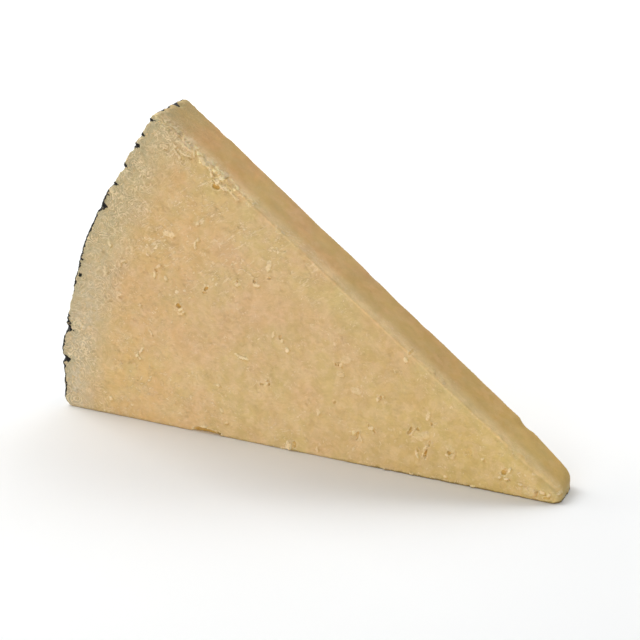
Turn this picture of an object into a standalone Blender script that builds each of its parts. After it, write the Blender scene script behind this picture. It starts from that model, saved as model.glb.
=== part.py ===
"""A thin wedge cut from a wheel of hard, aged sheep's milk cheese, standing on its lower cut.

The wheel's round side, with its black rind, is at -X and the worn tip at +X. The broad face that lay
inside the wheel faces -Y, the other broad face +Y, and the upper cut slopes down from the rind to the
tip. The outline is drawn with the point where the two cuts would meet at x = 0, z = 0, and the finished
wedge is moved so that the origin is the middle of its box, on the table.
"""

import math
import random

import bmesh
import bpy
import numpy as np
from mathutils import Matrix, Vector, noise

MM = 0.001

# Driving dimensions, in metres and radians
WHEEL_RADIUS = 160 * MM
WHEEL_CENTRE_BEYOND_CUTS = 1.3 * MM
WHEEL_CENTRE_BELOW_TABLE = 5.6 * MM
WEDGE_ANGLE = math.radians(35.3)
THICKNESS_AT_RIND = 17.1 * MM
THICKNESS_AT_TIP = 13.8 * MM
TIP_LOST = 4.3 * MM
TIP_SET_BACK_BEHIND = 2.8 * MM

# How far each edge is rounded
LOWER_RIND_CORNER = 3.2 * MM
UPPER_RIND_CORNER = 3.4 * MM
TIP_CORNER_HEIGHT = 1.6 * MM
TIP_FRONT_CORNER = 3.4 * MM
TIP_BACK_CORNER = 4.5 * MM
NEAR_UPPER_EDGE = 1.5 * MM
FAR_UPPER_EDGE = 0.6 * MM
RIND_EDGE = 0.6 * MM
TABLE_EDGE = 0.45 * MM

# How finely the form is worked out, and what is kept of it
RIND_STEPS = 28
CORNER_SEGMENTS = 4
RELIEF_SPACING = 0.75 * MM
KEPT_TRIANGLES = 9600
RANDOM_SEED = 41

# How deep into the body a scoop is felt, and lengths that tell the regions of the wedge apart
REACH_INTO_BODY = 4.0 * MM
BEYOND_BOTH_FACES = 100 * MM
ON_PLANE = 0.01 * MM
TIP_REGION = 20 * MM
RIND_REGION = 110 * MM
RIND_SKIN = 1.5 * MM
FLAT_BASE_FADE = 1.5 * MM

Y_FRONT = -THICKNESS_AT_RIND / 2
INTO_FRONT = Vector((0, 1, 0))
ALONG_TABLE = Vector((1, 0, 0))
UP_THE_CUT = Vector((-math.cos(WEDGE_ANGLE), 0, math.sin(WEDGE_ANGLE)))
INTO_UPPER_CUT = Vector((-math.sin(WEDGE_ANGLE), 0, -math.cos(WEDGE_ANGLE)))

# Stretches where the rim runs flatter than the wheel's circle: height of the middle, half length, depth
RIND_FLATS = ((1.0, 15.0, 1.4), (76.0, 20.0, 1.4))
# Nicks that break the rind's front edge: height above the table, half width along the rim, depth
RIND_NICKS = (
    (13.9, 1.3, 1.1),
    (23.0, 1.5, 1.0),
    (60.2, 1.2, 0.8),
    (67.4, 1.4, 1.0),
    (72.8, 1.5, 1.1),
    (79.0, 1.6, 1.2),
    (82.5, 0.9, 0.6),
    (87.1, 0.8, 0.6),
)
# Nicks at the rind's upper end: place across the thickness, half width, depth
UPPER_RIND_NICKS = ((-3.9, 0.8, 0.7), (3.1, 1.3, 1.1))
# Openings in the front face: distance from where the cuts meet, height, half width, half height, depth
FACE_PITS = (
    (119.6, 35.5, 1.1, 0.8, 1.0),
    (110.9, 42.0, 1.0, 1.1, 0.9),
    (107.4, 71.6, 1.7, 1.3, 1.5),
    (44.1, 7.6, 2.0, 2.6, 1.3),
    (47.6, 12.4, 1.8, 1.2, 0.8),
    (36.6, 8.4, 1.5, 1.2, 0.7),
    (57.7, 20.2, 1.3, 1.1, 0.8),
    (49.4, 34.0, 0.9, 1.8, 0.8),
    (65.1, 8.8, 1.0, 1.5, 0.6),
    (59.8, 10.6, 1.5, 1.0, 0.6),
    (20.8, 6.2, 1.8, 1.4, 0.8),
    (30.8, 9.5, 2.4, 1.5, 0.5),
    (11.5, 2.6, 2.4, 1.2, 0.6),
    (91.8, 18.7, 1.4, 0.8, 0.6),
    (86.6, 30.0, 1.2, 1.6, 0.5),
    (91.5, 50.5, 1.2, 2.4, 0.5),
    (70.5, 27.8, 1.1, 0.9, 0.5),
    (98.8, 25.0, 2.2, 0.8, 0.5),
)
# Pieces broken from the lower front edge, with the same sizes as a pit
TABLE_EDGE_CHIPS = ((111.4, 0.0, 5.4, 1.9, 1.6), (85.6, 0.4, 1.4, 1.5, 0.8), (31.0, 0.0, 4.0, 0.7, 0.5))
# Flakes that stand up from the front face, with the same sizes as a pit
FACE_FLAKES = (
    (105.6, 72.9, 1.3, 0.8, 0.6),
    (109.6, 74.6, 1.1, 0.7, 0.5),
    (114.3, 79.3, 1.6, 0.7, 0.4),
    (117.0, 82.0, 1.2, 0.6, 0.3),
    (122.4, 86.2, 2.2, 0.9, 0.4),
    (100.0, 24.0, 2.6, 0.7, 0.4),
    (133.6, 19.7, 1.4, 0.9, 0.3),
    (123.1, 55.7, 1.6, 0.8, 0.3),
    (64.8, 20.9, 1.8, 0.9, 0.3),
    (50.2, 31.6, 0.9, 1.2, 0.4),
    (85.4, 2.6, 1.0, 0.9, 0.4),
    (14.6, 3.6, 1.8, 0.8, 0.4),
    (8.2, 2.4, 1.4, 0.7, 0.3),
)
# Dents in the far upper edge: distance up the cut from where the cuts meet, half length, depth
FAR_EDGE_DENTS = ((25.0, 3.0, 0.5), (67.0, 2.6, 0.35), (118.0, 3.4, 0.4))

# How far a nick in the rind runs in from the edge that it breaks
NICK_REACH_ACROSS = 2.6 * MM
NICK_REACH_DOWN = 2.4 * MM
# Dimples in the rind: how many, then the least and most of size, stretch and depth
RIND_DIMPLES = 70
DIMPLE_SIZE = (0.9 * MM, 1.8 * MM)
DIMPLE_STRETCH = (0.8, 1.5)
DIMPLE_DEPTH = (0.3 * MM, 0.7 * MM)
# Small pits: how many, then the least and most of size, stretch and depth as a share of the size
SMALL_PITS_EACH_FACE = 46
SMALL_PITS_UPPER_CUT = 14
PIT_SIZE = (0.7 * MM, 1.4 * MM)
PIT_STRETCH = (1.0, 2.0)
PIT_DEPTH_SHARE = (0.3, 0.6)
# Gentle swells of a cut face and of the rind: breadth and depth
FACE_SWELLS = ((13 * MM, 0.22 * MM), (4.5 * MM, 0.10 * MM))
RIND_SWELLS = ((9 * MM, 0.55 * MM), (3.2 * MM, 0.22 * MM))


def line_meets_rim(angle):
    """Distance from where the cuts meet to the wheel's rim, along a cut that rises by this angle."""
    direction = Vector((-math.cos(angle), 0, math.sin(angle)))
    centre = Vector((WHEEL_CENTRE_BEYOND_CUTS, 0, -WHEEL_CENTRE_BELOW_TABLE))
    along = direction.dot(centre)
    return along + math.sqrt(along**2 - centre.length_squared + WHEEL_RADIUS**2)


LOWER_CUT_LENGTH = line_meets_rim(0)
UPPER_CUT_LENGTH = line_meets_rim(WEDGE_ANGLE)


def rim_angle(height):
    """Angle at the wheel's centre, up from -X, of the rim's point at this height above the table."""
    return math.asin((height + WHEEL_CENTRE_BELOW_TABLE) / WHEEL_RADIUS)


TOP_RIM_ANGLE = rim_angle(UPPER_CUT_LENGTH * math.sin(WEDGE_ANGLE))


def rim_point(angle, y):
    x = WHEEL_CENTRE_BEYOND_CUTS - WHEEL_RADIUS * math.cos(angle)
    z = WHEEL_RADIUS * math.sin(angle) - WHEEL_CENTRE_BELOW_TABLE
    return Vector((x, y, z))


def back_y(x):
    """Where the back face lies: the slice thins evenly from the rind to the tip."""
    share = -x / LOWER_CUT_LENGTH
    return Y_FRONT + THICKNESS_AT_TIP + share * (THICKNESS_AT_RIND - THICKNESS_AT_TIP)


def round_outline_corner(bm, place, size):
    corner = min(bm.verts, key=lambda vert: (vert.co - place).length)
    bmesh.ops.bevel(
        bm,
        geom=[corner],
        offset=size,
        segments=CORNER_SEGMENTS,
        profile=0.5,
        affect="VERTICES",
        material=-1,
    )


def at_tip(vert):
    return vert.co.x > -TIP_REGION


def by_rind(vert):
    return vert.co.x < -RIND_REGION


def in_front(vert):
    return vert.co.y < Y_FRONT + ON_PLANE


def in_back(vert):
    return vert.co.y > back_y(vert.co.x) - ON_PLANE


def on_table(vert):
    return vert.co.z < ON_PLANE


def on_upper_cut(vert):
    return vert.co.z > -vert.co.x * math.tan(WEDGE_ANGLE) - ON_PLANE


def round_edges(bm, size, *tests):
    """Rounds each edge whose two ends pass every test."""
    edges = [edge for edge in bm.edges if all(test(vert) for vert in edge.verts for test in tests)]
    bmesh.ops.bevel(
        bm,
        geom=edges,
        offset=size,
        segments=CORNER_SEGMENTS,
        profile=0.5,
        affect="EDGES",
        material=-1,
        clamp_overlap=True,
    )


def wedge_blank():
    """The smooth wedge: outline, thickness and rounded edges."""
    bm = bmesh.new()
    lower_end = rim_point(rim_angle(0), Y_FRONT)
    upper_end = rim_point(TOP_RIM_ANGLE, Y_FRONT)
    start = bm.verts.new(lower_end)
    bmesh.ops.spin(
        bm,
        geom=[start],
        cent=(WHEEL_CENTRE_BEYOND_CUTS, Y_FRONT, -WHEEL_CENTRE_BELOW_TABLE),
        axis=(0, 1, 0),
        angle=TOP_RIM_ANGLE - rim_angle(0),
        steps=RIND_STEPS,
    )
    last = min(bm.verts, key=lambda vert: (vert.co - upper_end).length)
    tip_high = bm.verts.new((-TIP_LOST, Y_FRONT, TIP_LOST * math.tan(WEDGE_ANGLE)))
    tip_low = bm.verts.new((-TIP_LOST, Y_FRONT, 0))
    for pair in ((last, tip_high), (tip_high, tip_low), (tip_low, start)):
        bm.edges.new(pair)
    bmesh.ops.contextual_create(bm, geom=bm.edges[:])
    round_outline_corner(bm, lower_end, LOWER_RIND_CORNER)
    round_outline_corner(bm, upper_end, UPPER_RIND_CORNER)

    extruded = bmesh.ops.extrude_face_region(bm, geom=bm.faces[:])
    for vert in (item for item in extruded["geom"] if isinstance(item, bmesh.types.BMVert)):
        if at_tip(vert):
            vert.co.x -= TIP_SET_BACK_BEHIND
            vert.co.z += TIP_SET_BACK_BEHIND * math.tan(WEDGE_ANGLE) * (vert.co.z > 0)
        vert.co.y = back_y(vert.co.x)
    bmesh.ops.recalc_face_normals(bm, faces=bm.faces[:])

    round_edges(bm, TIP_CORNER_HEIGHT, at_tip, on_upper_cut)
    round_edges(bm, TIP_FRONT_CORNER, at_tip, in_front)
    round_edges(bm, TIP_BACK_CORNER, at_tip, in_back)
    round_edges(bm, NEAR_UPPER_EDGE, on_upper_cut, in_front)
    round_edges(bm, FAR_UPPER_EDGE, on_upper_cut, in_back)
    round_edges(bm, TABLE_EDGE, on_table, in_front)
    round_edges(bm, TABLE_EDGE, on_table, in_back)
    round_edges(bm, RIND_EDGE, by_rind, in_front)
    round_edges(bm, RIND_EDGE, by_rind, in_back)
    mesh = bpy.data.meshes.new("wedge_blank")
    bm.to_mesh(mesh)
    bm.free()
    return mesh


def applied(obj, kind, **settings):
    """Adds a modifier, and returns the mesh that it makes."""
    modifier = obj.modifiers.new(kind.title(), kind)
    for name, value in settings.items():
        setattr(modifier, name, value)
    graph = bpy.context.evaluated_depsgraph_get()
    mesh = bpy.data.meshes.new_from_object(obj.evaluated_get(graph))
    obj.modifiers.remove(modifier)
    return mesh


def scoop(points, centre, inward, along, half_length, half_width, depth):
    """How far each point goes in: a rounded bowl about the centre, none beyond the far side."""
    across = inward.cross(along)
    offset = points - np.array(centre)
    u = offset @ np.array(along) / half_length
    v = offset @ np.array(across) / half_width
    near = np.clip(1 - (offset @ np.array(inward) / REACH_INTO_BODY) ** 2, 0, 1)
    bowl = np.clip(1 - u**2 - v**2, 0, 1) ** 1.3
    return np.outer(bowl * near * depth, np.array(inward))


def face_scoops():
    """Pits, chips and flakes that the front face shows, and dents in the far upper edge."""
    lowered = [(feature, 1) for feature in FACE_PITS + TABLE_EDGE_CHIPS]
    raised = [(feature, -1) for feature in FACE_FLAKES]
    for (distance, height, half_width, half_height, depth), sign in lowered + raised:
        centre = Vector((-distance * MM, Y_FRONT, height * MM))
        yield centre, INTO_FRONT, ALONG_TABLE, half_width * MM, half_height * MM, sign * depth * MM
    for distance, half_length, depth in FAR_EDGE_DENTS:
        centre = UP_THE_CUT * distance * MM
        centre.y = back_y(centre.x)
        inward = (INTO_UPPER_CUT - INTO_FRONT).normalized()
        yield centre, inward, UP_THE_CUT, half_length * MM, half_length * MM, depth * MM


def dimple(angle, y, half_width, half_length, depth):
    """A scoop in the rind, by its angle on the rim and its place across the thickness."""
    inward = Vector((math.cos(angle), 0, -math.sin(angle)))
    return rim_point(angle, y), inward, INTO_FRONT, half_length, half_width, depth


def rind_scoops(draw):
    """Flatter stretches of the rim, nicks in its edges, and the dimples that the mould left over it."""
    for height, half_length, depth in RIND_FLATS:
        yield dimple(rim_angle(height * MM), 0, half_length * MM, BEYOND_BOTH_FACES, depth * MM)
    for height, half_width, depth in RIND_NICKS:
        angle = rim_angle(height * MM)
        yield dimple(angle, Y_FRONT, half_width * MM, NICK_REACH_ACROSS, depth * MM)
    for y, half_width, depth in UPPER_RIND_NICKS:
        yield dimple(TOP_RIM_ANGLE, y * MM, NICK_REACH_DOWN, half_width * MM, depth * MM)
    for _ in range(RIND_DIMPLES):
        angle = draw.uniform(rim_angle(0), TOP_RIM_ANGLE)
        y = draw.uniform(Y_FRONT + NICK_REACH_ACROSS, -Y_FRONT)
        size = draw.uniform(*DIMPLE_SIZE)
        yield dimple(angle, y, size, size * draw.uniform(*DIMPLE_STRETCH), draw.uniform(*DIMPLE_DEPTH))


def place_on_face(draw, inward):
    """A random point on the front face, the back face or the upper cut, clear of the edges."""
    distance = LOWER_CUT_LENGTH * math.sqrt(draw.uniform(0.01, 0.95))
    if inward == INTO_UPPER_CUT:
        centre = UP_THE_CUT * distance
        centre.y = draw.uniform(0.6 * Y_FRONT, 0.6 * back_y(centre.x))
        return centre
    angle = WEDGE_ANGLE * draw.uniform(0.04, 0.96)
    centre = Vector((-distance * math.cos(angle), Y_FRONT, distance * math.sin(angle)))
    if inward != INTO_FRONT:
        centre.y = back_y(centre.x)
    return centre


def small_pits(draw):
    """Small openings strewn over both broad faces and the upper cut, each turned its own way."""
    for inward, count in (
        (INTO_FRONT, SMALL_PITS_EACH_FACE),
        (-INTO_FRONT, SMALL_PITS_EACH_FACE),
        (INTO_UPPER_CUT, SMALL_PITS_UPPER_CUT),
    ):
        for _ in range(count):
            centre = place_on_face(draw, inward)
            size = draw.uniform(*PIT_SIZE)
            turn = Matrix.Rotation(draw.uniform(0, math.pi), 3, inward)
            along = turn @ inward.orthogonal().normalized()
            length = size * draw.uniform(*PIT_STRETCH)
            yield centre, inward, along, length, size, size * draw.uniform(*PIT_DEPTH_SHARE)


def swell(place, waves):
    return sum(depth * noise.noise(place / breadth) for breadth, depth in waves)


def vertex_array(mesh, name):
    values = np.empty(len(mesh.vertices) * 3)
    mesh.vertices.foreach_get(name, values)
    return values.reshape(-1, 3)


def move_vertices(mesh, points):
    mesh.vertices.foreach_set("co", points.ravel())
    mesh.update()


def relieve(mesh):
    """Gives the smooth wedge the relief of a cut and handled piece, and leaves its lower face flat."""
    draw = random.Random(RANDOM_SEED)
    points = vertex_array(mesh, "co")
    moved = points.copy()
    for bowl in (*face_scoops(), *rind_scoops(draw), *small_pits(draw)):
        moved += scoop(points, *bowl)
    from_wheel_centre = np.hypot(
        points[:, 0] - WHEEL_CENTRE_BEYOND_CUTS,
        points[:, 2] + WHEEL_CENTRE_BELOW_TABLE,
    )
    on_rind = np.clip((from_wheel_centre - WHEEL_RADIUS) / RIND_SKIN + 1, 0, 1)
    places = [Vector(point) for point in points]
    face_swell = np.array([swell(place, FACE_SWELLS) for place in places])
    rind_swell = np.array([swell(place, RIND_SWELLS) for place in places])
    outward = face_swell + on_rind * (rind_swell - face_swell)
    moved += vertex_array(mesh, "normal") * outward[:, None]
    lifted = np.clip(points[:, 2] / FLAT_BASE_FADE, 0, 1)
    moved[:, 2] = np.maximum(points[:, 2] + (moved[:, 2] - points[:, 2]) * lifted, 0)
    move_vertices(mesh, moved)


def cheese_material():
    material = bpy.data.materials.new("aged_cheese")
    material.use_nodes = True
    shader = material.node_tree.nodes["Principled BSDF"]
    shader.inputs["Base Color"].default_value = (0.63, 0.43, 0.21, 1)
    shader.inputs["Roughness"].default_value = 0.55
    shader.inputs["Metallic"].default_value = 0
    return material


def settle_on_table(mesh):
    """Moves the wedge so that the origin is the middle of its box, on the table, and levels its base."""
    points = vertex_array(mesh, "co")
    middle = (points.min(axis=0) + points.max(axis=0)) / 2
    points -= (middle[0], middle[1], 0)
    points[points[:, 2] < ON_PLANE, 2] = 0
    move_vertices(mesh, points)


def main():
    for obj in list(bpy.data.objects):
        bpy.data.objects.remove(obj)
    wedge = bpy.data.objects.new("cheese_wedge", wedge_blank())
    bpy.context.scene.collection.objects.link(wedge)
    wedge.data = applied(wedge, "REMESH", mode="VOXEL", voxel_size=RELIEF_SPACING)
    relieve(wedge.data)
    wedge.data = applied(wedge, "TRIANGULATE")
    share = KEPT_TRIANGLES / len(wedge.data.polygons)
    wedge.data = applied(wedge, "DECIMATE", decimate_type="COLLAPSE", ratio=share)
    settle_on_table(wedge.data)
    wedge.data.name = "cheese_wedge"
    wedge.data.shade_smooth()
    wedge.data.set_sharp_from_angle(angle=math.radians(50))
    wedge.data.materials.clear()
    wedge.data.materials.append(cheese_material())


main()
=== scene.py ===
"""A thin wedge of hard, aged sheep's milk cheese with a black rind, on a white studio floor.

Shapes are worked out in millimetres about the line where the two cuts of the wedge would meet, with the
rind at -X, the front face at -Y and the lower cut on the table. Each finished mesh is then brought to
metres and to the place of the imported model.
"""

import sys
import logging
import math
import random
from collections.abc import Callable, Iterator
from dataclasses import dataclass, field, replace
from enum import Enum
from itertools import product

import bmesh
import bpy
import numpy as np
from mathutils import Matrix, Vector, noise
from mathutils.bvhtree import BVHTree
from mathutils.kdtree import KDTree


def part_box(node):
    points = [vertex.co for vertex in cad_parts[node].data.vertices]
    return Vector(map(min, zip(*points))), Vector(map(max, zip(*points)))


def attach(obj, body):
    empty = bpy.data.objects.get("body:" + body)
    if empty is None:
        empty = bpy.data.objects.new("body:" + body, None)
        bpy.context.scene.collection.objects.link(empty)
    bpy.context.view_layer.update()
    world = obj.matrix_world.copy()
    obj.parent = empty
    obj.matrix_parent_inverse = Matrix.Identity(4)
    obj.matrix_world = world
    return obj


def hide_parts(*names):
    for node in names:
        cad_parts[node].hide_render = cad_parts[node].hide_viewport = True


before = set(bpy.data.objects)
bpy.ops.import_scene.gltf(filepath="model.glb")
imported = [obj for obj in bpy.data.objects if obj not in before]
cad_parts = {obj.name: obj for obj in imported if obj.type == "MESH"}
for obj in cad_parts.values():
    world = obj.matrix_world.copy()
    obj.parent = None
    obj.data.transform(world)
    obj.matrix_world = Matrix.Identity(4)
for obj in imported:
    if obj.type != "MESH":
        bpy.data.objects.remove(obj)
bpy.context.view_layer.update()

LOG = logging.getLogger("cheese_wedge")
MM = 0.001
INTO_FRONT = Vector((0, 1, 0))
# Stretches of the front edge where the coat turns on to the cut: lowest and highest height
COAT_TURNS_IN = ((2.5, 27.5), (34.0, 66.0))
ALONG_TABLE = Vector((1, 0, 0))


# ---------------------------------------------------------------------------------------------------
# The wheel, its cuts and the marks on them
# ---------------------------------------------------------------------------------------------------


@dataclass(frozen=True)
class WheelCut:
    """The wheel of cheese and the two cuts that freed the wedge, in millimetres and degrees."""

    wheel_radius: float = 160.0
    centre_beyond_cuts: float = 1.3
    centre_below_table: float = 5.6
    wedge_degrees: float = 35.3
    thickness_at_rind: float = 17.1
    thickness_at_tip: float = 13.8
    tip_lost: float = 4.3
    tip_set_back_behind: float = 2.8

    @property
    def angle(self) -> float:
        """The wedge's angle in radians."""
        return math.radians(self.wedge_degrees)

    @property
    def y_front(self) -> float:
        """Where the front face lies."""
        return -self.thickness_at_rind / 2

    @property
    def wheel_centre(self) -> Vector:
        """The wheel's centre."""
        return Vector((self.centre_beyond_cuts, 0, -self.centre_below_table))

    @property
    def up_the_cut(self) -> Vector:
        """The direction up the upper cut, towards the rind."""
        return Vector((-math.cos(self.angle), 0, math.sin(self.angle)))

    @property
    def into_upper_cut(self) -> Vector:
        """The direction square into the upper cut."""
        return Vector((-math.sin(self.angle), 0, -math.cos(self.angle)))

    @property
    def lower_length(self) -> float:
        """Length of the lower cut, from where the cuts meet to the rim."""
        return self.line_meets_rim(0)

    @property
    def upper_length(self) -> float:
        """Length of the upper cut, from where the cuts meet to the rim."""
        return self.line_meets_rim(self.angle)

    @property
    def top_rim_angle(self) -> float:
        """Angle of the rim's upper end, seen from the wheel's centre."""
        return self.rim_angle(self.upper_length * math.sin(self.angle))

    def line_meets_rim(self, angle: float) -> float:
        """Finds how far a cut runs before it meets the wheel's rim.

        Args:
            angle: How steeply the cut rises, in radians.

        Returns:
            The distance from where the cuts meet.
        """
        direction = Vector((-math.cos(angle), 0, math.sin(angle)))
        along = direction.dot(self.wheel_centre)
        reach = along**2 - self.wheel_centre.length_squared + self.wheel_radius**2
        return along + math.sqrt(reach)

    def rim_angle(self, height: float) -> float:
        """Gives the angle at the wheel's centre of the rim's point at a height above the table."""
        return math.asin((height + self.centre_below_table) / self.wheel_radius)

    def rim_point(self, angle: float, y: float) -> Vector:
        """Gives a point of the rim."""
        radial = Vector((-math.cos(angle), 0, math.sin(angle)))
        return self.wheel_centre + radial * self.wheel_radius + INTO_FRONT * y

    def back_y(self, x: float | np.ndarray) -> float | np.ndarray:
        """Says where the back face lies: the slice thins evenly from the rind to the tip.

        Args:
            x: Place along the table, one or many.

        Returns:
            The back face's Y there.
        """
        share = -x / self.lower_length
        widening = self.thickness_at_rind - self.thickness_at_tip
        return self.y_front + self.thickness_at_tip + share * widening

    def rim_depth(self, points: np.ndarray) -> np.ndarray:
        """Measures how deep points lie below the wheel's rim."""
        sides = points[:, [0, 2]] - np.array((self.centre_beyond_cuts, -self.centre_below_table))
        return self.wheel_radius - np.hypot(sides[:, 0], sides[:, 1])

    def upper_depth(self, points: np.ndarray) -> np.ndarray:
        """Measures how deep points lie below the upper cut."""
        return points @ np.array(self.into_upper_cut)


@dataclass(frozen=True)
class Mark:
    """A pit, slot, chip or flake that the front face shows, in millimetres.

    Turn is how far its length rises from the table, in degrees. Depth is how far a pit goes in or, below
    nought, how far a flake stands up. Tint is how strongly the brown of an opening shows, and for a flake
    how strongly its pale and the painted shadow in the groove beside it show.
    """

    distance: float
    height: float
    half_length: float
    half_width: float
    turn: float
    depth: float
    tint: float

    @property
    def along(self) -> Vector:
        """The direction of its length in the front face."""
        return Matrix.Rotation(-math.radians(self.turn), 3, "Y") @ ALONG_TABLE

    @property
    def across(self) -> Vector:
        """The direction of its width in the front face."""
        return self.along.cross(INTO_FRONT)

    def reaches(self, points: np.ndarray, margin: float) -> np.ndarray:
        """Tells which points of the front face lie within the mark, widened by a margin.

        Args:
            points: One row a point.
            margin: The margin.

        Returns:
            True for each point within it.
        """
        offset = points - (-self.distance, 0, self.height)
        u = offset @ np.array(self.along) / (self.half_length + margin)
        v = offset @ np.array(self.across) / (self.half_width + margin)
        return u**2 + v**2 < 1


@dataclass(frozen=True)
class Bowl:
    """One scoop of the surface: a rounded bowl about a centre, felt only near it."""

    centre: Vector
    inward: Vector
    along: Vector
    half_length: float
    half_width: float
    depth: float
    sharp: bool = False

    def share(self, points: np.ndarray) -> np.ndarray:
        """Says how far down the bowl's slope each point lies.

        Args:
            points: One row a point.

        Returns:
            From 0 outside the bowl to 1 at its middle.
        """
        across = self.inward.cross(self.along)
        offset = points - np.array(self.centre)
        u = offset @ np.array(self.along) / self.half_length
        v = offset @ np.array(across) / self.half_width
        near = np.clip(1 - (offset @ np.array(self.inward) / 4) ** 2, 0, 1)
        fall = np.clip(1 - u**2 - v**2, 0, 1)
        return near * (np.clip(fall * 1.5, 0, 1) ** 0.9 if self.sharp else fall**1.3)

    def push(self, points: np.ndarray, moved: np.ndarray) -> None:
        """Moves the points that the bowl reaches.

        Args:
            points: Where the points stood at first.
            moved: The same points, which are moved further.
        """
        reach = max(min(self.half_length, 30), min(self.half_width, 30)) + 4
        close = np.nonzero((np.abs(points - np.array(self.centre)) < reach).all(axis=1))[0]
        moved[close] += np.outer(self.share(points[close]) * self.depth, np.array(self.inward))


def deepest(bowls: list[Bowl], points: np.ndarray) -> np.ndarray:
    """Joins overlapping bowls into one opening or flake, as deep at each point as the deepest of them.

    Args:
        bowls: The bowls.
        points: One row a point.

    Returns:
        How far each point goes in or, below nought, out.
    """
    depths = np.array([bowl.share(points) * bowl.depth for bowl in bowls])
    return depths[np.abs(depths).argmax(axis=0), np.arange(len(points))]


class Grain:
    """Smooth repeatable noise, worked out for many points at once."""

    def __init__(self, seed: int) -> None:
        """Draws the slopes that the noise is made of.

        Args:
            seed: A number that picks the pattern.
        """
        draw = np.random.default_rng(seed)
        slopes = draw.normal(size=(256, 3))
        self.slopes = slopes / np.linalg.norm(slopes, axis=1)[:, None]
        self.order = draw.permutation(256)

    def at(self, points: np.ndarray, breadth: float) -> np.ndarray:
        """Gives the noise at each point.

        Args:
            points: One row a point.
            breadth: The breadth of one swell.

        Returns:
            Values from about -1 to 1.
        """
        place = points / breadth
        cell = np.floor(place).astype(np.int64)
        part = place - cell
        ease = part**3 * (part * (part * 6 - 15) + 10)
        total = np.zeros(len(points))
        for corner in product((0, 1), repeat=3):
            x, y, z = ((cell + corner) & 255).T
            pick = self.order[(self.order[(self.order[x] + y) & 255] + z) & 255]
            weight = np.prod(np.where(corner, ease, 1 - ease), axis=1)
            total += weight * np.einsum("ij,ij->i", self.slopes[pick], part - corner)
        return total * 1.6


def ramp(values: np.ndarray, low: float, high: float) -> np.ndarray:
    """Eases values from 0 at one bound to 1 at the other.

    Args:
        values: The values.
        low: Where 0 is reached.
        high: Where 1 is reached.

    Returns:
        The eased values.
    """
    part = np.clip((values - low) / (high - low), 0, 1)
    return part * part * (3 - 2 * part)


def rows_of(items: bpy.types.bpy_prop_collection, name: str) -> np.ndarray:
    """Reads a three-part property of every vertex or face of a mesh.

    Args:
        items: The mesh's vertices or faces.
        name: The property, such as co, center or normal.

    Returns:
        One row a vertex or face.
    """
    values = np.empty(len(items) * 3)
    items.foreach_get(name, values)
    return values.reshape(-1, 3)


def set_attribute(mesh: bpy.types.Mesh, name: str, values: np.ndarray) -> None:
    """Keeps one number for each vertex on a mesh.

    Args:
        mesh: The mesh.
        name: The attribute's name.
        values: One number a vertex.
    """
    layer = mesh.attributes.new(name, "FLOAT", "POINT")
    layer.data.foreach_set("value", values.astype(np.float32))


def applied(obj: bpy.types.Object, kind: str, **settings: object) -> bpy.types.Mesh:
    """Runs one modifier on an object.

    Args:
        obj: The object.
        kind: The modifier's type.
        settings: The modifier's settings.

    Returns:
        The mesh that the modifier makes.
    """
    modifier = obj.modifiers.new(kind.title(), kind)
    for name, value in settings.items():
        setattr(modifier, name, value)
    graph = bpy.context.evaluated_depsgraph_get()
    mesh = bpy.data.meshes.new_from_object(obj.evaluated_get(graph))
    obj.modifiers.remove(modifier)
    return mesh


def mesh_of(bm: bmesh.types.BMesh, name: str) -> bpy.types.Mesh:
    """Turns a bmesh into a mesh, and frees it.

    Args:
        bm: The bmesh.
        name: The mesh's name.

    Returns:
        The mesh.
    """
    mesh = bpy.data.meshes.new(name)
    bm.to_mesh(mesh)
    bm.free()
    return mesh


def placed_object(name: str, mesh: bpy.types.Mesh) -> bpy.types.Object:
    """Puts a mesh in the scene.

    Args:
        name: The object's name.
        mesh: Its mesh.

    Returns:
        The object, at the origin.
    """
    obj = bpy.data.objects.new(name, mesh)
    bpy.context.scene.collection.objects.link(obj)
    return obj


def to_model_place(mesh: bpy.types.Mesh, middle: Vector) -> None:
    """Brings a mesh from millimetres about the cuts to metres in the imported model's place.

    Args:
        mesh: The mesh.
        middle: The middle of the wedge's box about the cuts, on the table.
    """
    low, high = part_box("cheese_wedge")
    there = (Vector(low) + Vector(high)) / 2
    there.z = low[2]
    mesh.transform(Matrix.Translation(there) @ Matrix.Scale(MM, 4) @ Matrix.Translation(-middle))
    mesh.update()


# ---------------------------------------------------------------------------------------------------
# Shader nodes
# ---------------------------------------------------------------------------------------------------

Value = bpy.types.NodeSocket | float | tuple


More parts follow.
